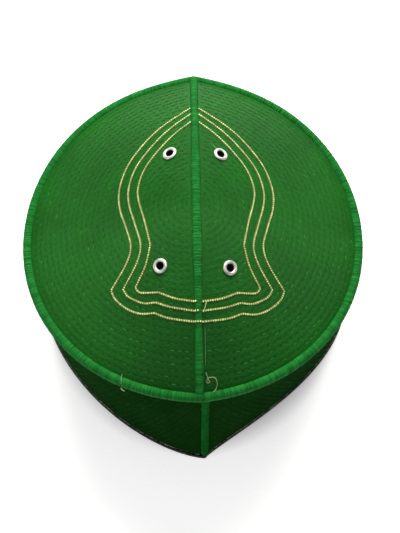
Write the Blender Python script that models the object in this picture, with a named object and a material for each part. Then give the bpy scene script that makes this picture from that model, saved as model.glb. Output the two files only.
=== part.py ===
# Kufi: a stiff quilted cap that folds flat, of two crown halves and two side walls
# joined by corded seams, with a bound hem and four eyelets in the crown.
# Metres, +Z up. The cap stands on its hem at z = 0, its front is -Y, and left and
# right are as seen from the front, so right is +X.

import bpy
import bmesh
import math
import numpy as np
from mathutils import Vector

MM = 0.001

# Crown: its rim in plan, and the heights of the rim and of the top
RIM_HALF_WIDTH = 88.0 * MM
RIM_HALF_LENGTH = 87.5 * MM
RIM_TIP_FRONT = 1.5 * MM      # how far the seam pulls the rim out at the front
RIM_TIP_BACK = 4.8 * MM
RIM_TIP_REACH = 20.0 * MM     # sideways distance over which that pull dies away
RIM_SIDE_Z = 72.0 * MM
RIM_TIP_Z = 82.0 * MM
RIM_RISE = 1.5                # how late the rim rises from its sides to its tips
TOP_Z = 118.0 * MM
CREASE_SLOPE = 0.47           # fall of each crown half away from the ridge

# Where the crown's centre seam and the walls' front seam meet the rim, to the right of the middle
SEAM_FRONT = 3.5 * MM
SEAM_BACK = 0.5 * MM
WALL_SEAM_FRONT = 6.3 * MM

# Hem: its outline on the surface that the cap stands on
HEM_HALF_WIDTH = 89.0 * MM
HEM_HALF_LENGTH = 101.5 * MM
HEM_SEAM_FRONT = 6.0 * MM
HEM_POINT_LEFT = 1.51         # 2 is an oval, 1 is a pointed lens
HEM_POINT_RIGHT = 0.88
HEM_POINT_BACK = 1.2

# Cloth and cords
CLOTH = 2.4 * MM              # two layers of cotton quilted to a stiff core
GAP = 0.3 * MM
RIM_CORD = 2.75 * MM          # radii of the seam cords
RIDGE_CORD = 2.25 * MM
SIDE_CORD = 2.2 * MM
RIM_CORD_SINK = 0.9 * MM      # how deep a cord's middle lies under the seam's edge
RIDGE_CORD_SINK = 0.55 * MM
SIDE_CORD_SINK = 0.7 * MM
RIM_SEAM = 3.5 * MM           # from the rim's edge to a panel's edge, along the cloth
RIDGE_SEAM = 2.7 * MM
SIDE_SEAM = 2.75 * MM

# Hem binding
BINDING_HEIGHT = 2.4 * MM
BINDING_WIDTH = 3.2 * MM
BINDING_ROUND = 0.5 * MM

# Eyelets
EYELET_HOLE = 2.0 * MM        # radii
EYELET_BARREL = 2.4 * MM
EYELET_FLANGE = 3.75 * MM
EYELET_BACK = 3.4 * MM
EYELET_CUT = 2.76 * MM
EYELET_RISE = 1.0 * MM
EYELET_SIDES = 16
EYELETS = (
    # node, distance from the seam, y
    ("eyelet_back_left", -12.8 * MM, 30.9 * MM),
    ("eyelet_back_right", 12.6 * MM, 30.4 * MM),
    ("eyelet_front_left", -17.9 * MM, -29.5 * MM),
    ("eyelet_front_right", 15.6 * MM, -30.6 * MM),
)

# Mesh fineness
CROWN_ROWS = 34
CROWN_COLUMNS = 8
WALL_ROWS = 5
WALL_COLUMNS = 36
RING_STEPS = 96
RIDGE_STEPS = 36
SIDE_STEPS = 8
CORD_SIDES = 10
SIDE_CORD_SIDES = 8


# Shape of the cap

def seam_x(y):
    """Where the centre seam runs, as x at a given y."""
    middle = (SEAM_FRONT + SEAM_BACK) / 2
    lean = (SEAM_FRONT - SEAM_BACK) / 2
    return middle - lean * y / RIM_HALF_LENGTH


def rim_turn(t, seam_front=SEAM_FRONT):
    """Turn round the rim for a seam angle t, which is 0 at the front seam, pi at the back one."""
    front = seam_front / RIM_HALF_WIDTH * (1 + math.cos(t)) / 2
    back = SEAM_BACK / RIM_HALF_WIDTH * (1 - math.cos(t)) / 2
    return t + front - back


def rim_reach(turn):
    """Half length of the rim's outline at a turn: the oval's, and more where a seam pulls it out."""
    along = math.cos(turn)
    pull = RIM_TIP_FRONT if along > 0 else RIM_TIP_BACK
    off_seam = abs(RIM_HALF_WIDTH * math.sin(turn) - seam_x(-RIM_HALF_LENGTH * along))
    return RIM_HALF_LENGTH + pull * math.exp(-off_seam / RIM_TIP_REACH) * abs(along)


def crown_height(x, y, spread, along):
    """Height of the crown's outer face; spread is 0 at the top and 1 on the rim."""
    rim_z = RIM_SIDE_Z + (RIM_TIP_Z - RIM_SIDE_Z) * abs(along) ** RIM_RISE
    crease = CREASE_SLOPE * abs(x - seam_x(y)) * max(0.0, 1 - spread)
    return TOP_Z - crease - (TOP_Z - rim_z) * spread ** 2


def crown_at(x, y):
    """Point of the crown's outer face above (x, y)."""
    turn = math.atan2(x / RIM_HALF_WIDTH, -y / RIM_HALF_LENGTH)
    for _ in range(4):
        turn = math.atan2(x / RIM_HALF_WIDTH, -y / rim_reach(turn))
    spread = math.hypot(x / RIM_HALF_WIDTH, y / rim_reach(turn))
    return Vector((x, y, crown_height(x, y, spread, math.cos(turn))))


def crown_turned(turn, spread):
    """Point of the crown's outer face on the line from its middle to the rim at a turn."""
    x = RIM_HALF_WIDTH * math.sin(turn) * spread
    y = -rim_reach(turn) * math.cos(turn) * spread
    return Vector((x, y, crown_height(x, y, spread, math.cos(turn))))


def crown_ray(t, spread):
    return crown_turned(rim_turn(t), spread)


def rim_at(t):
    return crown_ray(t, 1.0)


def wall_top(t):
    return crown_turned(rim_turn(t, WALL_SEAM_FRONT), 1.0)


def hem_at(t):
    """Point of the hem's outline at seam angle t."""
    front = (1 + math.cos(t)) / 2
    side = math.sin(t)
    point = HEM_POINT_RIGHT if side > 0 else HEM_POINT_LEFT
    power = 2 / (point * front + HEM_POINT_BACK * (1 - front))
    x = math.copysign(HEM_HALF_WIDTH * abs(side) ** power, side)
    x += HEM_SEAM_FRONT * max(0.0, math.cos(t))
    return Vector((x, -HEM_HALF_LENGTH * math.cos(t), 0.0))


def wall_at(t, fall):
    """Point of the side wall's outer face; fall is 0 on the rim and 1 on the hem."""
    return wall_top(t).lerp(hem_at(t), fall)


def crown_normal(x, y):
    """Outward direction of the crown's face at (x, y)."""
    step = 0.2 * MM
    across = crown_at(x + step, y) - crown_at(x - step, y)
    along = crown_at(x, y + step) - crown_at(x, y - step)
    return across.cross(along).normalized()


# Mesh helpers

def material(name, colour, roughness, metallic=0.0):
    made = bpy.data.materials.new(name)
    made.use_nodes = True
    shader = made.node_tree.nodes["Principled BSDF"]
    shader.inputs["Base Color"].default_value = (*colour, 1.0)
    shader.inputs["Roughness"].default_value = roughness
    shader.inputs["Metallic"].default_value = metallic
    return made


def add_object(name, bm, finish, crease_angle=40.0):
    """Turn a bmesh into an object whose faces point out, shaded smooth with crisp edges."""
    bmesh.ops.recalc_face_normals(bm, faces=bm.faces)
    mesh = bpy.data.meshes.new(name)
    bm.to_mesh(mesh)
    bm.free()
    mesh.shade_smooth()
    mesh.set_sharp_from_angle(angle=math.radians(crease_angle))
    mesh.materials.append(finish)
    made = bpy.data.objects.new(name, mesh)
    bpy.context.scene.collection.objects.link(made)
    return made


def add_panel(name, rows, finish):
    """Cloth panel: a grid of points on its outer face, and the same grid one cloth further in."""
    grid = np.array([[tuple(point) for point in row] for row in rows])
    down = np.gradient(grid, axis=0)
    across = np.gradient(grid, axis=1)
    normal = np.cross(across, down)
    normal /= np.linalg.norm(normal, axis=2, keepdims=True)
    middle = grid.mean(axis=(0, 1)) - np.array((0.0, 0.0, RIM_SIDE_Z / 2))
    if (normal * middle).sum() < 0:
        normal = -normal
    inner = grid - CLOTH * normal
    count_rows, count_columns = grid.shape[:2]
    bm = bmesh.new()
    outside = [[bm.verts.new(point) for point in row] for row in grid]
    inside = [[bm.verts.new(point) for point in row] for row in inner]
    for layer in (outside, inside):
        for i in range(count_rows - 1):
            for j in range(count_columns - 1):
                bm.faces.new((layer[i][j], layer[i][j + 1], layer[i + 1][j + 1], layer[i + 1][j]))
    edge = [(0, j) for j in range(count_columns)]
    edge += [(i, count_columns - 1) for i in range(1, count_rows)]
    edge += [(count_rows - 1, j) for j in range(count_columns - 2, -1, -1)]
    edge += [(i, 0) for i in range(count_rows - 2, 0, -1)]
    for (i, j), (k, m) in zip(edge, edge[1:] + edge[:1]):
        bm.faces.new((outside[i][j], outside[k][m], inside[k][m], inside[i][j]))
    return add_object(name, bm, finish)


def add_sweep(name, rings, finish, closed):
    """Solid through a list of rings of points, closed on itself or capped at both ends."""
    bm = bmesh.new()
    layers = [[bm.verts.new(point) for point in ring] for ring in rings]
    pairs = list(zip(layers, layers[1:]))
    if closed:
        pairs.append((layers[-1], layers[0]))
    for one, two in pairs:
        for i in range(len(one)):
            k = (i + 1) % len(one)
            bm.faces.new((one[i], one[k], two[k], two[i]))
    if not closed:
        bm.faces.new(layers[0])
        bm.faces.new(layers[-1])
    return add_object(name, bm, finish)


def cord_rings(points, outward, radius, sides, closed):
    """Round rings square to a path; outward gives the way that each ring's first corner faces."""
    count = len(points)
    rings = []
    for i, point in enumerate(points):
        before = points[i - 1] if closed or i > 0 else point
        after = points[(i + 1) % count] if closed or i < count - 1 else point
        along = (after - before).normalized()
        up = (outward[i] - along * outward[i].dot(along)).normalized()
        side = along.cross(up)
        angles = [2 * math.pi * k / sides for k in range(sides)]
        rings.append([point + radius * (math.cos(a) * up + math.sin(a) * side) for a in angles])
    return rings


# Cords

def rim_outward(t):
    """Direction out of the rim's edge, midway between the crown's face and the wall's face."""
    small = 0.004
    along = rim_at(t + small) - rim_at(t - small)
    over_crown = crown_ray(t, 1.0) - crown_ray(t, 0.99)
    down_wall = wall_at(t, 0.01) - wall_top(t)
    crown_out = along.cross(-over_crown).normalized()
    wall_out = along.cross(-down_wall).normalized()
    return (crown_out + wall_out).normalized()


def rim_cord_path():
    turns = [2 * math.pi * i / RING_STEPS for i in range(RING_STEPS)]
    outward = [rim_outward(t) for t in turns]
    return [rim_at(t) - RIM_CORD_SINK * out for t, out in zip(turns, outward)], outward


def ridge_point(y):
    """Middle of the ridge cord at y, sunk under the crown's crest."""
    crest = crown_at(seam_x(y), y)
    step = 0.5 * MM
    along = crown_at(seam_x(y + step), y + step) - crown_at(seam_x(y - step), y - step)
    up = (Vector((0, 0, 1)) - along * along.z / along.length_squared).normalized()
    return crest - RIDGE_CORD_SINK * up


def ridge_end(sign, rim_path):
    """Where the ridge cord stops short of the rim cord, at the front (-1) or the back (+1)."""
    meet = rim_path[0] if sign < 0 else rim_path[RING_STEPS // 2]
    reach = RIM_CORD + GAP
    y = sign * RIM_HALF_LENGTH
    while (ridge_point(y) - meet).length < reach:
        y -= sign * 0.02 * MM
    return y


def build_cords(satin):
    rim_path, outward = rim_cord_path()
    add_sweep("rim_cord", cord_rings(rim_path, outward, RIM_CORD, CORD_SIDES, True), satin, True)
    front, back = ridge_end(-1, rim_path), ridge_end(1, rim_path)
    ridge = [ridge_point(front + (back - front) * i / RIDGE_STEPS) for i in range(RIDGE_STEPS + 1)]
    upright = [Vector((0, 0, 1))] * len(ridge)
    rings = cord_rings(ridge, upright, RIDGE_CORD, CORD_SIDES, False)
    add_sweep("ridge_cord", rings, satin, False)
    front_meet = (WALL_SEAM_FRONT - SEAM_FRONT) / RIM_HALF_WIDTH
    seams = (("front_cord", 0.0, -1, front_meet), ("back_cord", math.pi, 1, math.pi))
    for name, t, sign, meet in seams:
        out = Vector((0, sign, 0))
        path = [wall_at(t, i / 100) - SIDE_CORD_SINK * out for i in range(101)]
        top = rim_at(meet) - RIM_CORD_SINK * rim_outward(meet)
        lowest = BINDING_HEIGHT + GAP + 0.4 * MM
        clear = [p for p in path if (p - top).length > RIM_CORD + GAP and p.z > lowest]
        start, end = clear[0], clear[-1]
        points = [start.lerp(end, i / SIDE_STEPS) for i in range(SIDE_STEPS + 1)]
        rings = cord_rings(points, [out] * len(points), SIDE_CORD, SIDE_CORD_SIDES, False)
        add_sweep(name, rings, satin, False)


# Crown

def crown_edge():
    """The crown panels' outer edge: the rim drawn in by the seam, as points by seam angle."""
    edge = []
    for i in range(721):
        t = 2 * math.pi * i / 720
        fall = (crown_ray(t, 1.0) - crown_ray(t, 0.99)).length / 0.01
        edge.append(crown_ray(t, 1 - RIM_SEAM / fall))
    return edge


def crown_rows(side, edge):
    """Rows of points from the ridge to the rim, one row at each y, for side -1 or +1."""
    half = edge[:361] if side > 0 else edge[:359:-1]
    edge_y = [point.y for point in half]
    edge_x = [point.x for point in half]
    narrowest = 1.5 * MM
    reach = []
    for y in np.linspace(edge_y[0], edge_y[-1], 2001):
        inner = seam_x(y) + side * RIDGE_SEAM
        outer = float(np.interp(y, edge_y, edge_x))
        if side * (outer - inner) > narrowest:
            reach.append(y)
    low, high = reach[0], reach[-1]
    rows = []
    for i in range(CROWN_ROWS + 1):
        y = (low + high) / 2 - (high - low) / 2 * math.cos(math.pi * i / CROWN_ROWS)
        inner = seam_x(y) + side * RIDGE_SEAM
        outer = float(np.interp(y, edge_y, edge_x))
        xs = [inner + (outer - inner) * j / CROWN_COLUMNS for j in range(CROWN_COLUMNS + 1)]
        rows.append([crown_at(x, y) for x in xs])
    return rows


def build_crown(cloth):
    edge = crown_edge()
    left = add_panel("crown_left", crown_rows(-1, edge), cloth)
    right = add_panel("crown_right", crown_rows(1, edge), cloth)
    return {-1: left, 1: right}


# Side walls

def wall_rows(side):
    """Rows of points from the front seam to the back seam, one row at each height."""
    steps = 1440
    turns = [side * math.pi * i / steps for i in range(steps + 1)]
    rows = []
    for i in range(WALL_ROWS + 1):
        ring = []
        for t in turns:
            drop = (hem_at(t) - wall_top(t)).length
            top = RIM_SEAM / drop
            bottom = 1 - (BINDING_HEIGHT + GAP) / wall_top(t).z
            ring.append(wall_at(t, top + (bottom - top) * i / WALL_ROWS))
        run = np.concatenate(([0.0], np.cumsum([(b - a).length for a, b in zip(ring, ring[1:])])))
        places = np.linspace(SIDE_SEAM, run[-1] - SIDE_SEAM, WALL_COLUMNS + 1)
        columns = [np.interp(places, run, [point[k] for point in ring]) for k in range(3)]
        rows.append([Vector(point) for point in zip(*columns)])
    return rows


def build_walls(cloth):
    add_panel("side_left", wall_rows(-1), cloth)
    add_panel("side_right", wall_rows(1), cloth)


# Hem binding

def build_binding(tape):
    """A folded tape under the walls' lower edge, a ring whose corners are mitred at the seams."""
    turns = [2 * math.pi * i / RING_STEPS for i in range(RING_STEPS)]
    outline = [hem_at(t) for t in turns]
    outer = (BINDING_WIDTH - CLOTH) / 2
    inner = outer - BINDING_WIDTH
    r, top = BINDING_ROUND, BINDING_HEIGHT
    section = ((outer, r), (outer, top - r), (outer - r, top), (inner + r, top), (inner, top - r))
    section += ((inner, r), (inner + r, 0.0), (outer - r, 0.0))
    rings = []
    for i, point in enumerate(outline):
        into = (point - outline[i - 1]).normalized()
        away = (outline[(i + 1) % RING_STEPS] - point).normalized()
        out_one = into.cross(Vector((0, 0, 1)))
        out_two = away.cross(Vector((0, 0, 1)))
        mitre = (out_one + out_two).normalized()
        mitre /= mitre.dot(out_one)
        rings.append([point + mitre * w + Vector((0, 0, z)) for w, z in section])
    add_sweep("hem_binding", rings, tape, True)


# Eyelets

def eyelet_profile():
    """Radius and height over the cloth, from the hole's upper edge outwards and round to it again."""
    low = -CLOTH - GAP
    flange, rise, back = EYELET_FLANGE, EYELET_RISE, EYELET_BACK
    rolled = (
        (EYELET_HOLE, GAP + 0.6 * rise),
        (EYELET_HOLE + 0.35 * MM, GAP + 0.95 * rise),
        (EYELET_HOLE + 0.85 * MM, GAP + rise),
        (flange - 0.35 * MM, GAP + 0.7 * rise),
        (flange, GAP + 0.3 * rise),
        (flange - 0.15 * MM, GAP),
    )
    barrel = ((EYELET_BARREL, GAP), (EYELET_BARREL, low))
    curled = (
        (back, low),
        (back, low - 0.4 * MM),
        (back - 0.3 * MM, low - 0.6 * MM),
        (EYELET_HOLE, low - 0.6 * MM),
    )
    return rolled + barrel + curled


def turned(profile, foot, axis):
    """Rings of points for a profile turned about an axis."""
    side = axis.orthogonal().normalized()
    other = axis.cross(side)
    rings = []
    for k in range(EYELET_SIDES):
        a = 2 * math.pi * k / EYELET_SIDES
        out = math.cos(a) * side + math.sin(a) * other
        rings.append([foot + out * r + axis * z for r, z in profile])
    return rings


def build_eyelets(nickel, crown):
    for name, off_seam, y in EYELETS:
        x = seam_x(y) + off_seam
        foot, axis = crown_at(x, y), crown_normal(x, y)
        add_sweep(name, turned(eyelet_profile(), foot, axis), nickel, True)
        cutter_mesh = bmesh.new()
        bmesh.ops.create_cone(
            cutter_mesh, cap_ends=True, segments=EYELET_SIDES,
            radius1=EYELET_CUT, radius2=EYELET_CUT, depth=4 * CLOTH,
        )
        cutter = add_object("cutter_" + name, cutter_mesh, nickel)
        cutter.location = foot - axis * CLOTH / 2
        cutter.rotation_mode = "QUATERNION"
        cutter.rotation_quaternion = axis.to_track_quat("Z", "Y")
        cutter.hide_render = True
        cutter.display_type = "WIRE"
        panel = crown[-1 if off_seam < 0 else 1]
        cut = panel.modifiers.new("hole_" + name, "BOOLEAN")
        cut.operation = "DIFFERENCE"
        cut.solver = "EXACT"
        cut.object = cutter


def main():
    for old in list(bpy.data.objects):
        bpy.data.objects.remove(old, do_unlink=True)
    cloth = material("green_quilted_cotton", (0.012, 0.130, 0.012), 0.85)
    satin = material("green_satin_cord", (0.014, 0.220, 0.050), 0.45)
    tape = material("black_cotton_tape", (0.006, 0.007, 0.006), 0.9)
    nickel = material("nickel_eyelet", (0.80, 0.80, 0.78), 0.3, 1.0)
    crown = build_crown(cloth)
    build_walls(cloth)
    build_cords(satin)
    build_binding(tape)
    build_eyelets(nickel, crown)


main()
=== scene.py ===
import math

import bmesh
import bpy
import numpy as np
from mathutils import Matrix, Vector


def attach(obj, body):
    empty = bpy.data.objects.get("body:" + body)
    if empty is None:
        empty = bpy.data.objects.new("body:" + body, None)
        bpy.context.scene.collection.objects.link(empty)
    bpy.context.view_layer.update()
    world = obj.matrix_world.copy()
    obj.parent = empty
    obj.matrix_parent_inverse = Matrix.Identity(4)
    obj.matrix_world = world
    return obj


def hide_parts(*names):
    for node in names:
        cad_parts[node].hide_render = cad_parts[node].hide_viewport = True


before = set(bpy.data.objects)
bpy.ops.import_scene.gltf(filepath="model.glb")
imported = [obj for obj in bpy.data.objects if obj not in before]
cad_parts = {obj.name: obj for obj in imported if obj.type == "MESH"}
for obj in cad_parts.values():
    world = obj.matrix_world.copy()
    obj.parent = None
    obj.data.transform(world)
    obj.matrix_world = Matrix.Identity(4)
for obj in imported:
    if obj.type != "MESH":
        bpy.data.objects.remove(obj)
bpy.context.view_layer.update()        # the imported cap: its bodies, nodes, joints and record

bl_info = {
    "name": "Quilted Kufi",
    "version": (1, 0, 0),
    "blender": (4, 5, 0),
    "location": "View3D > Sidebar > Kufi",
    "description": "Dresses a stiff quilted cap: stitched cloth, satin seams, gold outline, eyelets and hem",
    "category": "Object",
}

# Metres, +Z up. The cap stands on its hem at z = 0, its front is -Y, and left and
# right are as seen from the front, so right is +X. t is the seam angle round the cap:
# 0 at the front seam, pi at the back one, negative on the left.
MM = 0.001

# The cap's shape, as its solids have it
RIM_HALF_WIDTH = 88.0 * MM
RIM_HALF_LENGTH = 87.5 * MM
RIM_TIP_FRONT = 1.5 * MM
RIM_TIP_BACK = 4.8 * MM
RIM_TIP_REACH = 20.0 * MM
RIM_SIDE_Z = 72.0 * MM
RIM_TIP_Z = 82.0 * MM
RIM_RISE = 1.5
TOP_Z = 118.0 * MM
CREASE_SLOPE = 0.47
SEAM_FRONT = 3.5 * MM
SEAM_BACK = 0.5 * MM
WALL_SEAM_FRONT = 6.3 * MM
HEM_HALF_WIDTH = 89.0 * MM
HEM_HALF_LENGTH = 101.5 * MM
HEM_SEAM_FRONT = 6.0 * MM
HEM_POINT_LEFT = 1.51
HEM_POINT_RIGHT = 0.88
HEM_POINT_BACK = 1.2
CLOTH = 2.4 * MM
GAP = 0.3 * MM
RIM_CORD = 2.75 * MM
RIDGE_CORD = 2.25 * MM
SIDE_CORD = 2.2 * MM
RIM_CORD_SINK = 0.9 * MM
RIDGE_CORD_SINK = 0.55 * MM
SIDE_CORD_SINK = 0.7 * MM
RIM_SEAM = 3.5 * MM
RIDGE_SEAM = 2.7 * MM
SIDE_SEAM = 2.75 * MM
BINDING_HEIGHT = 2.4 * MM
BINDING_WIDTH = 3.2 * MM
EYELET_HOLE = 2.0 * MM
EYELET_BARREL = 2.4 * MM
EYELET_FLANGE = 3.75 * MM
EYELET_BACK = 3.4 * MM
EYELET_CUT = 2.76 * MM
EYELET_RISE = 1.0 * MM
EYELETS = {
    # CAD node: (distance from the seam, y)
    "eyelet_back_left": (-12.8 * MM, 30.9 * MM),
    "eyelet_back_right": (12.6 * MM, 30.4 * MM),
    "eyelet_front_left": (-17.9 * MM, -29.5 * MM),
    "eyelet_front_right": (15.6 * MM, -30.6 * MM),
}
SIDES = {"left": -1, "right": 1}

# Gold outline on each crown half, three lines from the seam round to the seam again. The points
# were read off the photo, placed on the crown, rounded and evened between left and right.
OUTLINE = {
    # line: points (distance from the seam, y), in mm
    "outer": (
        (2.4, 61.8), (18.1, 49.7), (28.0, 38.9), (35.2, 28.0), (39.0, 15.7), (38.7, 5.0),
        (35.3, -6.5), (32.8, -17.0), (35.2, -25.8), (42.8, -37.6), (40.8, -42.0), (35.4, -47.2),
        (28.5, -50.6), (21.3, -51.2), (14.1, -54.2), (2.4, -56.5),
    ),
    "middle": (
        (2.4, 56.8), (14.6, 46.5), (24.0, 35.9), (30.8, 25.9), (34.1, 15.0), (33.8, 5.8),
        (30.6, -6.0), (27.8, -17.4), (29.9, -26.4), (36.6, -38.0), (34.8, -41.2), (31.6, -43.6),
        (26.3, -46.1), (20.5, -46.4), (13.2, -49.3), (2.4, -51.8),
    ),
    "inner": (
        (2.4, 50.6), (11.0, 43.2), (20.2, 32.8), (26.3, 23.7), (29.2, 14.2), (28.8, 6.7),
        (25.8, -4.9), (22.9, -18.1), (25.4, -28.2), (30.5, -38.2), (28.6, -40.6), (24.6, -41.4),
        (19.3, -41.9), (11.0, -45.6), (2.4, -47.6),
    ),
}
# The points, counted from 0, at which a line turns sharply
OUTLINE_CORNERS = {"outer": (9, 13), "middle": (9, 13), "inner": (7, 9, 12)}
OUTLINE_STEP = 0.5 * MM
# Where the left lines' front ends climb the ridge cord: distance left of the seam, and how far
# forward of the line's last point, in mm
OVER_RIDGE = {"outer": -1.7, "middle": 0.2, "inner": 1.2}
OVER_RIDGE_FORWARD = 0.2
OUTLINE_LIFT = 0.25 * MM      # height of the gold lines over the cloth

# Loose thread ends lying on the crown: (finish, radius, points), a point being
# (x, y, height over the cloth), in mm
LOOSE_THREADS = {
    "curl_by_front_rim": ("pale", 0.12, (
        (6.2, -77.6, 0.9), (7.0, -79.4, 0.9), (6.9, -82.0, 0.7), (8.1, -81.6, 1.1), (7.4, -79.8, 1.5),
        (10.6, -79.6, 1.4), (11.8, -82.0, 1.0), (11.4, -84.2, 0.9), (10.1, -85.4, 1.6),
    )),
    "end_beside_ridge": ("green", 0.08, (
        (6.1, -58.4, 0.1), (6.0, -62.6, 0.5), (6.2, -67.5, 0.3), (6.1, -71.6, 0.6), (6.2, -75.2, 0.2),
    )),
    "end_at_left_rim": ("green", 0.15, (
        (-34.3, -76.6, 0.4), (-34.6, -78.0, 1.3), (-34.3, -79.4, 2.1), (-34.5, -80.6, 2.4),
    )),
    "end_at_back_eyelet": ("pale", 0.08, (
        (9.0, 35.8, 0.4), (10.2, 35.2, 0.8), (11.2, 34.0, 0.5), (12.4, 34.2, 0.3),
    )),
    "gold_between_lines": ("gold", 0.16, (
        (6.9, -47.2, 0.5), (6.4, -48.6, 0.5), (5.9, -50.2, 0.5), (5.4, -51.6, 0.4),
    )),
    "fleck_under_left_rim": ("pale", 0.3, (
        (-35.2, -82.4, 0.9), (-34.2, -83.2, 1.1), (-33.1, -84.0, 0.9),
    )),
}


def colour(code):
    """Linear RGB of an sRGB hex value."""
    parts = [int(code[i:i + 2], 16) / 255 for i in (0, 2, 4)]
    return tuple(p / 12.92 if p <= 0.04045 else ((p + 0.055) / 1.055) ** 2.4 for p in parts)


def hue(name, code, text):
    return bpy.props.FloatVectorProperty(
        name=name, description=text, subtype="COLOR", size=3, min=0.0, max=1.0, default=colour(code),
    )


def length(name, value, text):
    return bpy.props.FloatProperty(
        name=name, description=text, unit="LENGTH", min=0.0, precision=5, default=value,
    )


def rows(name, value, text):
    return bpy.props.FloatProperty(name=name, description=text, min=1.0, default=value)


class KufiColours(bpy.types.PropertyGroup):
    crown: hue("Crown cotton", "0d5c0b", "Green of the crown's cotton")
    # The side walls' green is darker than the crown's cotton by painted shade on the walls
    side: hue("Side cotton", "10350e", "Green of the side walls' cotton")
    quilting: hue("Quilting thread", "1f6522", "Green of the quilting thread")
    satin: hue("Satin thread", "21782f", "Green of the seam cords' thread")
    gold: hue("Gold thread", "e4faa6", "Pale gold of the outline's thread")
    # Painted shade: this brown is laid on the gold links' flanks and on the flat bed under each gold line
    gold_painted_shade: hue("Gold thread, sunk", "575008", "Brown of the gold thread where it dips into the cloth")
    tape: hue("Hem tape", "0f110f", "Black of the hem tape")
    nickel: hue("Eyelets", "eae8e2", "Reflection of the plated eyelets")
    lint: hue("Loose thread", "c2cc9e", "Pale loose thread ends")
    floor: hue("Floor", "f2f2f0", "Pale floor")


class KufiSizes(bpy.types.PropertyGroup):
    stitch: length("Quilting stitch", 3.6 * MM, "Distance between two needle holes of a quilting row")
    quilting_thread: length("Quilting thread", 0.34 * MM, "Thickness of the quilting thread")
    satin_pitch: length("Satin pitch", 0.7 * MM, "Distance between two threads of a seam cord")
    satin_thread: length("Satin thread", 0.34 * MM, "Thickness of a seam cord's threads")
    chain_pitch: length("Chain pitch", 1.2 * MM, "Distance between two links of the gold chain stitch")
    chain_width: length("Chain width", 1.05 * MM, "Width of the gold chain stitch")
    hem_stitch: length("Hem stitch", 3.0 * MM, "Distance between two stitches of the gold line over the hem")
    crown_rows: rows("Crown rows", 30.7, "Quilting rows between the crown's middle and its rim")
    side_rows: rows("Side rows", 26.0, "Quilting rows between the rim and the hem")


# Shape of the cap, for arrays of points

def xyz(x, y, z):
    return np.stack(np.broadcast_arrays(x, y, z), axis=-1)


def unit(v):
    return v / np.maximum(np.linalg.norm(v, axis=-1, keepdims=True), 1e-12)


def seam_x(y):
    """x of the crown's centre seam at a y."""
    middle = (SEAM_FRONT + SEAM_BACK) / 2
    lean = (SEAM_FRONT - SEAM_BACK) / 2
    return middle - lean * y / RIM_HALF_LENGTH


def rim_turn(t, seam_front=SEAM_FRONT):
    """Turn round the rim for a seam angle."""
    front = seam_front / RIM_HALF_WIDTH * (1 + np.cos(t)) / 2
    back = SEAM_BACK / RIM_HALF_WIDTH * (1 - np.cos(t)) / 2
    return t + front - back


def rim_reach(turn):
    """Half length of the rim's outline at a turn."""
    along = np.cos(turn)
    pull = np.where(along > 0, RIM_TIP_FRONT, RIM_TIP_BACK)
    off_seam = np.abs(RIM_HALF_WIDTH * np.sin(turn) - seam_x(-RIM_HALF_LENGTH * along))
    return RIM_HALF_LENGTH + pull * np.exp(-off_seam / RIM_TIP_REACH) * np.abs(along)


def crown_height(x, y, spread, along):
    """Height of the crown, along being the cosine of the turn."""
    rim_z = RIM_SIDE_Z + (RIM_TIP_Z - RIM_SIDE_Z) * np.abs(along) ** RIM_RISE
    crease = CREASE_SLOPE * np.abs(x - seam_x(y)) * np.maximum(0.0, 1 - spread)
    return TOP_Z - crease - (TOP_Z - rim_z) * spread ** 2


def crown_place(x, y):
    """Turn and spread (0 at the top, 1 on the rim) of points of the crown in plan."""
    turn = np.arctan2(x / RIM_HALF_WIDTH, -y / RIM_HALF_LENGTH)
    for _ in range(4):
        turn = np.arctan2(x / RIM_HALF_WIDTH, -y / rim_reach(turn))
    return turn, np.hypot(x / RIM_HALF_WIDTH, y / rim_reach(turn))


def crown_at(x, y):
    turn, spread = crown_place(x, y)
    return xyz(x, y, crown_height(x, y, spread, np.cos(turn)))


def crown_turned(turn, spread):
    """Points of the crown on the lines from its middle to the rim at the given turns."""
    x = RIM_HALF_WIDTH * np.sin(turn) * spread
    y = -rim_reach(turn) * np.cos(turn) * spread
    return xyz(x, y, crown_height(x, y, spread, np.cos(turn)))


def crown_ray(t, spread):
    return crown_turned(rim_turn(t), spread)


def wall_top(t):
    return crown_turned(rim_turn(t, WALL_SEAM_FRONT), 1.0)


def crown_normal(x, y):
    step = 0.2 * MM
    across = crown_at(x + step, y) - crown_at(x - step, y)
    along = crown_at(x, y + step) - crown_at(x, y - step)
    return unit(np.cross(across, along))


def hem_at(t):
    """Points of the hem, an oval drawn out to a point at both seams."""
    front = (1 + np.cos(t)) / 2
    side = np.sin(t)
    point = np.where(side > 0, HEM_POINT_RIGHT, HEM_POINT_LEFT)
    power = 2 / (point * front + HEM_POINT_BACK * (1 - front))
    x = np.sign(side) * HEM_HALF_WIDTH * np.abs(side) ** power
    x = x + HEM_SEAM_FRONT * np.maximum(0.0, np.cos(t))
    return xyz(x, -HEM_HALF_LENGTH * np.cos(t), 0.0)


def wall_at(t, fall):
    """Points of the side walls' outer face; fall is 0 on the rim and 1 on the hem."""
    fall = np.asarray(fall)[..., None]
    return wall_top(t) * (1 - fall) + hem_at(t) * fall


def run_of(points):
    """Distance along a row of points from its first one."""
    steps = np.linalg.norm(np.diff(points, axis=0), axis=1)
    return np.concatenate(([0.0], np.cumsum(steps)))


def points_at(places, run, points):
    """Points at the given distances along a row of points."""
    return np.stack([np.interp(places, run, points[:, k]) for k in range(3)], axis=-1)


def wander(x, y, size):
    """Smooth irregular values from -1 to 1 that change over about size, the same each run."""
    waves = ((1.0, 0.31, 0.0), (-0.43, 0.94, 1.7), (0.72, -0.81, 4.1), (0.19, 1.27, 2.6), (1.31, 0.55, 5.2))
    total = sum(np.sin((x * a + y * b) * 2 * math.pi / size + c) for a, b, c in waves)
    return total / len(waves)


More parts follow.
